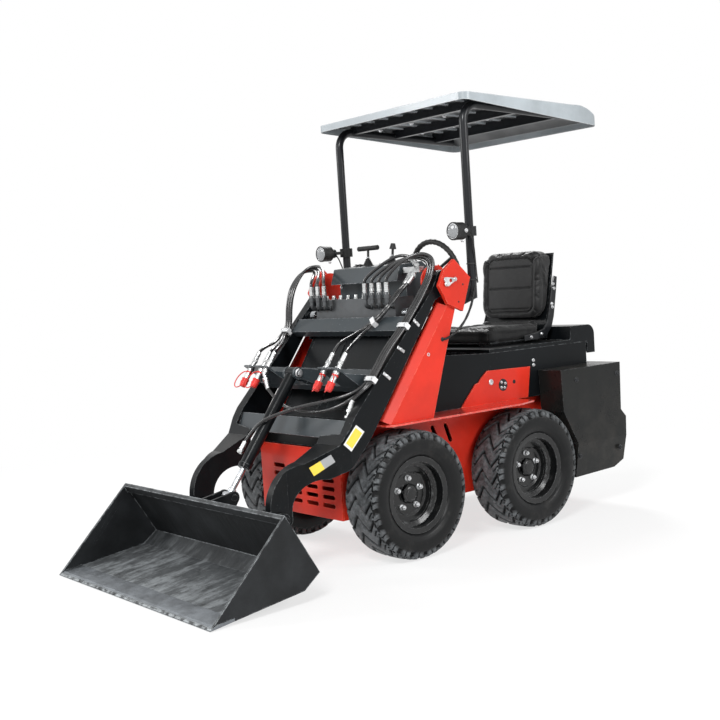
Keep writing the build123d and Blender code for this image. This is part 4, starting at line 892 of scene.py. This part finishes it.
        caps = Batch()
        for x in (268, 357, -222, -314):
            way = np.array([0.0, *COUPLER_WAY])
            centre = at(x, *on_coupler(102.5, 0))
            profile = [(15.0, 0.0), (18.0, 1.0), (18.4, 6.0), (16.6, 7.5), (16.4, 16.0), (18.0, 17.5),
                       (18.0, 25.0), (16.4, 27.0), (16.2, 36.0), (14.0, 41.0), (6.0, 43.5)]
            caps.turn(profile, centre, way, 28)
            side = 1 if x > 0 else -1
            loop = Line(f"cap_loop_{x}", [
                (x + side * out, *on_coupler(run, lift)) for out, run, lift in (
                    (0, 141, 8), (6, 166, 20), (34, 150, 26), (38, 104, 24), (20, 76, 20), (0, 68, 14),
                    (-12, 66, 0))])
            caps.tube(loop, [(run, 2.6) for run in np.linspace(0, loop.length, 40)], 8)
            band = [(13.2, -4.0), (15.0, -3.5), (15.0, 3.5), (13.2, 4.0)]
            caps.turn(band, at(x, *on_coupler(68, 0)), way, 24)
        made = caps.make("cap_grips_and_loops", "cap_plastic", "boom")
        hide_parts("dust_caps")
        return {"FINISHED"}


class TyreOperator(bpy.types.Operator):
    """Treaded tyres, wheel nuts, hub caps and valve stems"""

    bl_idname = "loader.tyres"
    bl_label = "Tyres"

    def execute(self, context):
        s = settings()
        half = np.array([(77.6, 152.4), (77.6, 165), (78, 175), (88.5, 178), (99, 199), (102.4, 221), (101, 243),
                         (97.5, 260), (92.5, 277), (80.5, 286), (58, 288.4), (30, 289.8), (0, 290)])
        line = half
        for _ in range(3):    # each round cuts the line's corners
            cut = np.empty((2 * len(line), 2))
            cut[0], cut[-1] = line[0], line[-1]
            cut[1:-1:2] = line[:-1] * 0.75 + line[1:] * 0.25
            cut[2:-1:2] = line[:-1] * 0.25 + line[1:] * 0.75
            line = cut
        run = travelled(line)
        total = run[-1]
        stations = np.unique(np.concatenate([
            np.linspace(0, total - 130, 16), np.linspace(total - 130, total - 70, 16),
            np.linspace(total - 70, total, 15)]))
        x = np.interp(stations, run, line[:, 0])
        r = np.interp(stations, run, line[:, 1])
        q = total - stations    # distance along the skin from the middle of the tread
        x = np.concatenate([x, -x[-2::-1]])
        r = np.concatenate([r, r[-2::-1]])
        q = np.concatenate([q, -q[-2::-1]])
        dx, dr = np.gradient(x), np.gradient(r)
        size = np.hypot(dx, dr)
        nx, nr = dr / size, -dx / size
        count = s.lug_count * 28    # points round the tyre
        angle = np.arange(count) / count * 2 * np.pi

        def lugs(side):
            """1 on the bars of one half of the tread and 0 in its grooves: zigzag bars, split near the shoulder."""
            reach = np.abs(q)[:, None]
            zigzag = np.abs(((q[:, None] + 12.0) / 112.0) % 1.0 - 0.5) * 2
            lean = 0.85 * zigzag * (1 - ease(reach, 84, 96)) + 0.16 * side * ease(reach, 78, 110)
            phase = (angle[None] / (2 * np.pi) * s.lug_count + lean) % 1.0
            off = np.abs(phase - 0.5) * 2
            width = 0.78 - 0.12 * ease(reach, 74, 104)
            lug = 1 - ease(off, width - 0.06, width + 0.06)
            slit = (1 - ease(off, 0.05, 0.13)) * ease(reach, 58, 66) * 0.9
            return lug * (1 - slit)

        mask = np.where(q[:, None] > 0, lugs(1), lugs(-1))
        mask = np.where(np.abs(q[:, None]) < 1e-6, np.maximum(lugs(1), lugs(-1)), mask)
        fade = ease(r, 246.0, 264.0)    # the bars run out down the shoulder
        depth = s.lug_depth / MM * fade[:, None] * (1 - mask)
        # three raised rings on the sidewall
        rings = 1.6 * (np.exp(-((r - 206) / 3.0) ** 2) + np.exp(-((r - 226) / 2.0) ** 2)
                       + 0.8 * np.exp(-((r - 186) / 2.5) ** 2))
        depth = depth - rings[:, None] * 0.7
        across = x[:, None] - nx[:, None] * depth
        out = r[:, None] - nr[:, None] * depth
        for axle, axle_y in (("front", -AXLE_Y), ("rear", AXLE_Y)):
            for hand, sign in (("left", 1), ("right", -1)):
                body = f"wheel_{axle}_{hand}"
                centre = at(sign * WHEEL_X, axle_y, WHEEL_R)
                points = np.stack([across * sign, out * np.cos(angle * sign), out * np.sin(angle * sign)], -1)
                points = points.reshape(-1, 3) * MM + centre
                tyre = piece(f"treaded_tyre_{axle}_{hand}", points, grid_faces(len(q), count, wrap_rows=True),
                             FINISHES["tyre"], body, angle=48)
                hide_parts(f"tyre_{axle}_{hand}")
                # mark the lug tops, which turn grey: scuffed rubber and a painted highlight
                worn = tyre.data.attributes.new("worn", "FLOAT", "POINT")
                worn.data.foreach_set("value", (mask * fade[:, None]).ravel())
                axis = np.array([float(sign), 0.0, 0.0])
                nuts = Batch()
                for k in range(5):
                    turn = math.radians(90 + 72 * k)
                    place = centre + np.array([sign * 10.0, 70 * math.cos(turn), 70 * math.sin(turn)]) * MM
                    nuts.turn([(15.5, -0.5), (15.5, 2.0), (12.5, 5.0)], place, axis, 20)
                    nuts.turn([(12.2, 3.0), (12.2, 15.0), (10.4, 17.0)], place, axis, 6, turn)
                    nuts.turn([(6.0, 14.0), (6.0, 22.0), (5.0, 23.0)], place, axis, 14)
                nuts.make(f"wheel_nuts_{axle}_{hand}", "zinc", body)
                cap = [(36.6, 16.0), (37.4, 18.0), (37.4, 32.0), (34.0, 35.2), (26.0, 36.4), (25.0, 34.6),
                       (12.0, 35.6), (4.0, 36.0)]
                lone(f"hub_cap_{axle}_{hand}", cap, centre, axis, "rim_paint", body, "rim_paint", 40)
                stem = [(5.5, 0.0), (5.0, 8.0), (3.6, 12.0), (3.6, 26.0), (4.4, 26.5), (4.4, 34.0), (3.0, 35.0)]
                place = centre + np.array([sign * 15.0, 108 * math.cos(0.9), 108 * math.sin(0.9)]) * MM
                lone(f"valve_stem_{axle}_{hand}", stem, place, axis, "black_plastic", body, "tyre", 14)
        return {"FINISHED"}


class SeatOperator(bpy.types.Operator):
    """Swollen vinyl seat cushions with sewn channels and side bolsters"""

    bl_idname = "loader.seat"
    bl_label = "Seat"

    def execute(self, context):
        self.cushion("seat_cushion", "seat_base_pad", 0.7)
        self.cushion("seat_back", "seat_back_pad", 0.7)
        arms, bolts = Batch(), Batch()
        bend = np.array([(640, 905), (740, 912), (800, 926), (836, 960), (856, 1010), (872, 1080), (888, 1150),
                         (903, 1215)])
        turns = np.gradient(bend.astype(float), axis=0)
        turns /= np.linalg.norm(turns, axis=1)[:, None]
        out = np.column_stack([-turns[:, 1], turns[:, 0]])
        wide = np.array([14.0, 19.0, 21.0, 22.0, 21.0, 20.0, 18.0, 13.0])
        for sign in (1, -1):
            rings = []
            for x, grow in ((229.0, 0.0), (229.0, 1.0), (233.0, 1.0), (236.0, 0.86), (236.0, -0.86), (233.0, -1.0),
                            (229.0, -1.0)):
                edge = bend + out * (wide * grow)[:, None]
                rings.append(np.column_stack([np.full(8, sign * x), edge[:, 0] + MID_Y, edge[:, 1]]) * MM)
            points = np.stack(rings, 1)
            arms.add(points.reshape(-1, 3), grid_faces(8, 7), end_caps(8, 7))
            for y, z in ((880, 1176), (886, 1152), (862, 1072), (866, 1054), (770, 920), (690, 908)):
                bolt(bolts, at(sign * 236, y, z), (sign, 0, 0), 11, 5, turn=z)
        arms.make("seat_side_arms", "frame_paint", "seat_platform", angle=30)
        bolts.make("seat_side_bolts", "zinc", "seat_platform")
        return {"FINISHED"}

    def cushion(self, node, name, fill):
        """Voxel skin of the CAD pad, blown up as cloth, then creased where the channels are sewn."""
        scene = bpy.context.scene
        mesh = NODES[node].data.copy()
        outward(mesh)
        obj = bpy.data.objects.new(name, mesh)
        scene.collection.objects.link(obj)
        co = coords(mesh)
        low, high = co.min(0), co.max(0)
        middle, size = (low + high) / 2, high - low
        move(mesh, middle + (co - middle) * (1 - 2 * SEAT_INSET / size))
        across = [0, 2 if node == "seat_back" else 1]
        reach = np.array([0.085, 0.085 if node == "seat_back" else 0.060])
        remesh = obj.modifiers.new("skin", "REMESH")
        remesh.mode = "VOXEL"
        remesh.voxel_size = 0.0062
        remesh.use_smooth_shade = True
        self.apply(obj)
        start = coords(obj.data)
        flat = start[:, across] - middle[across]
        straight = size[across] / 2 - SEAT_INSET - reach
        inset = np.abs(flat) - straight
        corner = (inset > 0).all(1)
        share = inset[corner] / reach
        round_share = share * (share.max(1) / np.maximum(np.hypot(*share.T), 1e-6))[:, None]
        start[np.ix_(corner, across)] = np.sign(flat[corner]) * (straight + round_share * reach) + middle[across]
        move(obj.data, start)
        cloth = obj.modifiers.new("swell", "CLOTH")
        cloth.settings.use_pressure = True
        cloth.settings.uniform_pressure_force = 4.0
        cloth.settings.effector_weights.gravity = 0.0
        cloth.settings.quality = 5
        scene.frame_start, scene.frame_end = 1, CLOTH_FRAMES
        for frame_number in range(1, CLOTH_FRAMES + 1):
            scene.frame_set(frame_number)
        self.apply(obj)
        moved = coords(obj.data) - start
        far = np.linalg.norm(moved, axis=1)
        moved *= np.minimum(1.0, settings().seat_swell / np.maximum(far, 1e-9))[:, None]
        move(obj.data, start + moved)
        scene.frame_set(1)
        smooth = obj.modifiers.new("fine", "SUBSURF")
        smooth.levels = smooth.render_levels = 1
        self.apply(obj)
        co, normals = coords(obj.data), coords(obj.data, "normal")
        x = co[:, 0] / MM
        # distance up the cushion, its whole length, how far its face looks out, and where it is sewn
        if node == "seat_back":
            up, tall, facing, lines = co[:, 2] / MM - 986.0, 385.0, -normals[:, 1], (64.0, 176.0, 288.0)
        else:
            up, tall, facing, lines = co[:, 1] / MM - MID_Y - 385.0, 431.0, normals[:, 2], (110.0, 205.0, 300.0)
        face = np.clip(facing * 1.4, 0, 1)
        half_width, side_rim, end_rim, corner_r = 226.0, 62.0, 48.0, 46.0
        half = np.array([half_width - side_rim, tall / 2 - end_rim])
        away = np.column_stack([np.abs(x), np.abs(up - tall / 2)]) - (half - corner_r)
        ring = np.hypot(*np.maximum(away, 0.0).T) + np.minimum(away.max(1), 0.0) - corner_r
        inner = 1 / (1 + np.exp((ring + 12.0) / 2.5))
        waves = sum(np.exp(-((up - y) / 4.5) ** 2) - 0.55 * np.exp(-((up - y + 10.0) / 6.0) ** 2) for y in lines)
        groove = waves * 8.0 * inner
        border = np.exp(-(ring / 4.5) ** 2) * 9.0
        bolster = 11.0 / (1 + np.exp(-(ring - 12.0) / 5.0)) * np.clip((75.0 - ring) / 40.0, 0, 1)
        shift = (bolster - np.maximum(groove, border)) * face
        move(obj.data, co + normals * (shift * MM)[:, None])
        obj.data.materials.clear()
        obj.data.materials.append(FINISHES["vinyl"])
        obj.data.polygons.foreach_set("use_smooth", [True] * len(obj.data.polygons))
        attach(obj, "seat_platform")
        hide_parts(node)

    def apply(self, obj):
        """Bake the live modifiers into the mesh."""
        bpy.context.view_layer.update()
        graph = bpy.context.evaluated_depsgraph_get()
        mesh = bpy.data.meshes.new_from_object(obj.evaluated_get(graph))
        obj.modifiers.clear()
        obj.data = mesh


class CanopyOperator(bpy.types.Operator):
    """Ribs on top and underneath, and bolts of the moulded canopy"""

    bl_idname = "loader.canopy"
    bl_label = "Canopy"

    def execute(self, context):
        def crown(y):
            """Height of the roof's top: level at the front, then falling in one arc to the rear edge."""
            return np.interp(y, [-14, 300, 600, 760, 830, 885, 925, 956],
                             [2078, 2071, 2064, 2058, 2050, 2040, 2021, 1998])

        def rib(batch, x, y, section, drop, taper=1.0):
            """Section of x and height swept along the roof, where taper flattens the part above it."""
            shape = (len(y), len(section))
            section = np.array(section)
            height = crown(y)[:, None] - drop + np.where(section[:, 1] > 0, section[:, 1] * taper, section[:, 1])
            place = np.stack([np.broadcast_to(x + section[:, 0], shape),
                              np.broadcast_to(y[:, None] + MID_Y, shape), height], -1)
            batch.add(place.reshape(-1, 3) * MM, grid_faces(*shape), end_caps(*shape))

        ribs, below = Batch(), Batch()
        y = np.linspace(24, 860, 60)
        taper = np.clip(np.minimum(y - 24, 860 - y) / 14.0, 0, 1)[:, None]
        for x in range(-440, 441, 110):
            rib(ribs, x, y, [(-27, -1.0), (-22, 5.5), (-18, 7.0), (18, 7.0), (22, 5.5), (27, -1.0)], 0.4, taper)
        for x in range(-385, 386, 110):
            rib(below, x, np.linspace(30, 800, 40), [(-13, 1.0), (-10, -9.0), (10, -9.0), (13, 1.0)], 5.0)
        ribs.make("roof_top_ribs", "roof_plastic", "chassis", angle=30)
        below.make("roof_underside_ribs", "roof_plastic", "chassis", angle=30)

        bolts = Batch()
        for y in (156.0, 450.0, 745.0):
            for x in (-463, -240, 0, 240, 463):
                bolt(bolts, at(x, y, crown(y) + 0.5), (0, 0, 1), 17, 7, turn=x)
                if abs(x) < 400:
                    bolt(bolts, at(x, y, 2020), (0, 0, -1), 15, 6, turn=x)
        bolts.make("roof_bolts", "zinc", "chassis")
        return {"FINISHED"}


class LampOperator(bpy.types.Operator):
    """Lamp bezels, fluted lenses, cooling fins, brackets' bolts and cables"""

    bl_idname = "loader.lamps"
    bl_label = "Lamps"

    def execute(self, context):
        black, bright, glass = Batch(), Batch(), Batch()
        way = np.array([0.0, -1.0, 0.0])
        for sign, z in ((1, 1451.0), (-1, 1408.0)):
            centre = at(sign * 500, -84, z)
            bezel = [(40.6, -12.0), (41.4, -10.0), (41.4, 1.0), (39.5, 3.2), (35.6, 3.2), (34.4, 0.4), (34.4, -1.0)]
            black.turn(bezel, centre, way, 40)
            bright.turn([(34.8, -0.6), (34.8, 1.6), (33.0, 2.2), (31.5, 1.0)], centre, way, 36)
            rings = np.linspace(0, 1, 10)
            lens = np.column_stack([33.6 * np.cos(rings * np.pi / 2 * 0.98), 0.6 + 7.0 * np.sin(rings * np.pi / 2)])
            glass.turn(np.vstack([[(33.6, -0.8)], lens]), centre, way, 36)
            for k in range(5):
                run = -36 - k * 7.0
                r = 34.0 - k * 2.2
                fin = [(r - 4, run - 1.5), (r, run - 1.2), (r, run + 1.2), (r - 4, run + 1.5)]
                black.turn(fin, centre, way, 28)
            bolt(bright, at(sign * 540.5, -40, z), (sign, 0, 0), 12, 5)
            bolt(bright, at(sign * 500, -28, z - 44), (0, 0, -1), 12, 5)
            lead = Line(f"lamp_lead_{sign}", [
                (sign * x, y, z - drop) for x, y, drop in (
                    (500, 2, 6), (500, 22, 10), (498, 46, 60), (486, 62, 130), (486, 66, 200), (486, 70, 240))])
            black.tube(lead, [(run, 3.2) for run in np.linspace(0, lead.length, 40)], 8)
            relief = [(0, 6.0), (4, 6.2), (8, 5.2), (10, 5.8), (14, 4.8), (16, 5.4), (20, 4.4), (26, 3.4)]
            black.tube(lead, relief, 14)
            for z_tie in (z - 150, z - 225):
                ring = [(21.4, -3.0), (23.0, -2.5), (23.0, 2.5), (21.4, 3.0)]
                black.turn(ring, at(sign * 463, 57, z_tie), (0, 0, 1), 28)
        black.make("lamp_bezels_and_leads", "black_plastic", "chassis")
        bright.make("lamp_rings_and_bolts", "zinc", "chassis")
        glass.make("lamp_lenses", "lens", "chassis", "black_plastic", angle=60)
        return {"FINISHED"}


class ConsoleOperator(bpy.types.Operator):
    """Lever gaiters, gauge, switches, key, bolts, and the steering wheel's cap and grip ridges"""

    bl_idname = "loader.console"
    bl_label = "Console"

    def execute(self, context):
        plastic, bright = Batch(), Batch()
        for x in (-62.0, 118.0):
            k = np.arange(13)
            r = 25.0 - k * 1.25 + np.where(k % 2, -2.2, 1.2)
            profile = np.vstack([[(28.0, -2.0), (28.0, 1.5)], np.column_stack([r, 2.0 + k * 2.6])])
            plastic.turn(profile, at(x, -130, 1327.5), (0.0, 0.02, 1.0), 28)
            bright.turn([(6.6, 0.0), (7.4, 0.6), (7.4, 5.0), (6.6, 5.6)], at(x, -130, 1364.0), (0, 0, 1), 18)
        side = (1, 0, 0)
        housing, rocker = (np.cross(unit(up), side) for up in ([0.0, -12.0, 138.0], [0, 0.16, 1.0]))
        for x in (-180.0, -150.0, 175.0, 205.0):
            plastic.add(*slab_mesh(at(x, -100, 1327.6), side, housing, 24, 40, 4.0, 1.5))
            plastic.add(*slab_mesh(at(x, -100, 1331.0), side, rocker, 15, 28, 5.0, 1.5))
        gauge = at(30.0, -100, 1327.0)
        bright.turn([(27, -1.0), (29, 1.5), (29, 5.5), (27, 7.5), (24.5, 7.5), (24.0, 4.5)], gauge, (0, 0, 1), 40)
        plastic.turn([(24.5, 3.0), (24.5, 5.2), (3.0, 5.4), (2.5, 7.0)], gauge, (0, 0, 1), 40)
        bright.turn([(11, -1.0), (13, 1.0), (13, 4.0), (11, 5.5), (8, 5.5)], at(-120.0, -70, 1329.6), (0, 0, 1), 28)
        bright.add(*slab_mesh(at(-120.0, -70, 1334.0), (0, 0, 1), (1, 0, 0), 22, 3, 8.0, 1.0))
        for x in (-238.0, 238.0):
            for z in (1085.0, 1160.0, 1230.0):
                bolt(bright, at(x, -165.5, z), (0, -1, 0), 11, 5)
        plastic.make("console_controls", "black_plastic", "chassis")
        bright.make("console_bezels", "zinc", "chassis")

        normal = np.array([0.0, math.cos(math.radians(10)), math.sin(math.radians(10))])
        centre = at(0, 262, 1264)
        wheel = Batch()
        hub = [(40, -8), (42, -3), (42, 6), (38, 11), (28, 14), (26, 12.5), (10, 13.5), (3, 14)]
        wheel.turn(hub, centre, normal, 40)
        first, second = basis(normal)
        for k in range(36):
            turn = k / 36 * 2 * np.pi + 0.04
            out = math.cos(turn) * first + math.sin(turn) * second
            way = -math.sin(turn) * first + math.cos(turn) * second
            ring = [(12.6, -5.0), (14.2, -4.0), (14.2, 4.0), (12.6, 5.0)]
            wheel.turn(ring, centre + out * 168 * MM, way, 18)
        wheel.make("steering_grip_ridges", "black_plastic", "steering_wheel")
        return {"FINISHED"}


class HardwareOperator(bpy.types.Operator):
    """Bolts, pins, weld beads, small brackets, blank labels and the valve's plugs"""

    bl_idname = "loader.hardware"
    bl_label = "Hardware"

    def execute(self, context):
        chassis, boom, dark = Batch(), Batch(), Batch()
        for sign in (1, -1):
            side = np.array([sign, 0.0, 0.0])
            for y, z in ((-92, 1234), (-150, 1214)):
                bolt(chassis, at(sign * 505, y, z), side, 12, 5, turn=y)
            for y, z in ((-40, 1208), (-72, 1130)):
                # near-black dots: painted shade of the head plates' small holes
                dark.turn([(4.6, -0.3), (4.6, 0.5), (2.0, 0.3)], at(sign * 498, y, z), side, 16)
            chassis.turn([(15, -1), (15, 3), (13, 5), (8, 5), (7, 1.5)], at(sign * 353, 254, 722), side, 24)
            # near-black shallow dish: painted shade of the port's round recess
            dark.turn([(30, -0.5), (30, 1.2), (27, 2.4), (25, 0.8), (4, 0.4)], at(sign * 353, 338, 700), side, 32)
            for turn in (0.4, 2.2, 3.9, 5.3):
                bolt(chassis, at(sign * 353.6, 338 + 17 * math.cos(turn), 700 + 17 * math.sin(turn)), side, 9, 4)
            dark.turn([(10, -0.5), (10, 1.0), (8, 1.6), (3, 1.2)], at(sign * 353, 418, 708), side, 24)
            for y, z in ((575, 800), (575, 776)):
                bolt(chassis, at(sign * 345, y, z), side, 11, 5, turn=z)
            chassis.turn([(8.2, -0.5), (8.2, 1.6), (5.0, 1.8), (4.6, -0.2)], at(sign * 480, -262, 905), side, 24)
            for y, z in ((716, 690), (716, 300), (1040, 690), (1040, 300)):
                bolt(dark, at(sign * 500, y, z), side, 18, 7, turn=z)
            boom.turn([(21, -1), (21, 3), (18, 5), (14, 5)], at(sign * 44, *TILT_TOP), side, 30)
            bolt(boom, at(sign * 48, *TILT_TOP), side, 22, 9)

        beads = Batch()
        for x in (407.0, -407.0):
            for k, (a, b) in enumerate((
                ((-372, 1021), (-322, 1082)), ((-580, 789), (-512, 859)), ((-727, 578), (-693, 656)),
            )):
                line = Line(f"bead_{k}", [(x, *a), (x, (a[0] + b[0]) / 2, (a[1] + b[1]) / 2), (x, *b)])
                runs = np.arange(0.0, line.length, 2.2)
                ripple = 4.2 + 0.55 * np.abs(np.sin(runs * 0.72)) + 0.25 * np.sin(runs * 0.21)
                beads.tube(line, np.column_stack([runs, ripple]), 8)
        beads.make("boom_weld_beads", "black_paint", "boom")

        tabs = Batch()
        for a, b in (((-429, 953), (-390, 928)), ((-325, 1065), (-292, 1036)), ((-519, 847), (-481, 817))):
            way = np.array([0.0, b[0] - a[0], b[1] - a[1]])
            middle = at(ARM_X, (a[0] + b[0]) / 2, (a[1] + b[1]) / 2)
            tabs.add(*slab_mesh(middle, way, np.cross((1, 0, 0), unit(way)), np.linalg.norm(way), 13, 4))
            bolt(tabs, middle + np.array([4.0, 0, 0]) * MM, (1, 0, 0), 9, 4)
        tabs.make("arm_tabs", "zinc", "boom")
        chassis.make("chassis_bolts", "zinc", "chassis")
        dark.make("dark_bolts_and_ports", "frame_paint", "chassis")
        conduit = Line("conduit_line", [
            (479, 64, 1225), (482, 58, 1205), (486, 44, 1169), (487.5, 12, 1096), (487.5, -32, 1035),
            (487.5, -93, 989), (487.0, -150, 967), (484, -168, 966), (476, -171, 966)])
        runs = np.linspace(0, conduit.length, 60)
        lead = Batch()
        lead.tube(conduit, np.column_stack([runs, 5.6 + 0.4 * np.sin(runs * 1.1)]), 12)
        lead.turn([(8, -1), (10, 0.5), (10, 2.5), (7, 4.0)], at(480, -171, 966), (1, 0, 0), 24)
        lead.make("conduit", "black_plastic", "chassis")
        boom.make("boom_bolts", "zinc", "boom")

        def label(name, corners, finish, body, lift=0.9, grow=1.0):
            """Blank sheet stuck on the arm's side: two quads lift apart, grown or shrunk about their middle."""
            flat = np.array([at(ARM_X, *c) for c in corners])
            middle = flat.mean(0)
            flat = middle + (flat - middle) * grow
            points = np.concatenate([flat, flat + np.array([lift * MM, 0, 0])])
            sides = [[k, (k + 1) % 4, (k + 1) % 4 + 4, k + 4] for k in range(4)]
            piece(name, points, sides, FINISHES[finish], body, False, [[0, 1, 2, 3], [4, 5, 6, 7]])

        upper = [(-688, 641), (-645, 606), (-722, 531), (-762, 566)]
        lower = [(-833, 534), (-812, 500), (-928, 458), (-950, 496)]
        label("label_upper_border", upper, "label_white", "boom")
        label("label_upper_field", upper, "label_yellow", "boom", 1.3, 0.78)
        middle_top, middle_low = (np.mean([lower[a], lower[b]], axis=0) for a, b in ((0, 3), (1, 2)))
        label("label_lower_grey", [lower[0], lower[1], middle_low, middle_top], "label_grey", "boom")
        label("label_lower_yellow", [middle_top, middle_low, lower[2], lower[3]], "label_yellow", "boom")

        plugs = Batch()
        for x in (-270, -210, -155, -95, -35, 25, 85, 145, 205, 262):
            plugs.turn([(13.5, -1.0), (13.5, 2.0), (11.5, 3.0), (11.5, 8.0)], at(x, -240, 1170), (0, 0, 1), 24)
            plugs.turn([(9.2, 6.0), (9.2, 18.0), (7.8, 20.0)], at(x, -240, 1170), (0, 0, 1), 6)
        plugs.make("valve_plugs", "plated_steel", "chassis")

        screws = Batch()
        for sign, run, lift in ((1, 222, 26.4), (1, 523, 25.4), (-1, 245, 30.4)):
            y, z = on_arm(run, lift)
            normal = np.array([0.0, ARM_WAY[1], -ARM_WAY[0]])
            for x in (415, 460):
                bolt(screws, at(sign * x, y, z), normal, 9, 3, turn=x)
        screws.make("clamp_screws", "zinc", "boom")
        return {"FINISHED"}


class LoaderPanel(bpy.types.Panel):
    """Sidebar panel with the loader's settings and makers"""

    bl_label = "Loader"
    bl_idname = "VIEW3D_PT_loader"
    bl_space_type = "VIEW_3D"
    bl_region_type = "UI"
    bl_category = "Loader"

    def draw(self, context):
        layout = self.layout
        values = context.scene.loader_settings
        for name in values.bl_rna.properties.keys():
            if name not in {"rna_type", "name"}:
                layout.prop(values, name)
        for maker in MAKERS:
            layout.operator(maker.bl_idname)


MAKERS = (
    StageOperator,
    FinishOperator,
    HoseOperator,
    TyreOperator,
    SeatOperator,
    CanopyOperator,
    LampOperator,
    ConsoleOperator,
    HardwareOperator,
)
CLASSES = (LoaderSettings, *MAKERS, LoaderPanel)


def register():
    for kind in CLASSES:
        bpy.utils.register_class(kind)
    bpy.types.Scene.loader_settings = bpy.props.PointerProperty(type=LoaderSettings)


def unregister():
    del bpy.types.Scene.loader_settings
    for kind in reversed(CLASSES):
        bpy.utils.unregister_class(kind)


def main():
    register()
    for maker in MAKERS:
        group, name = maker.bl_idname.split(".")
        getattr(getattr(bpy.ops, group), name)()


if __name__ == "__main__":
    main()
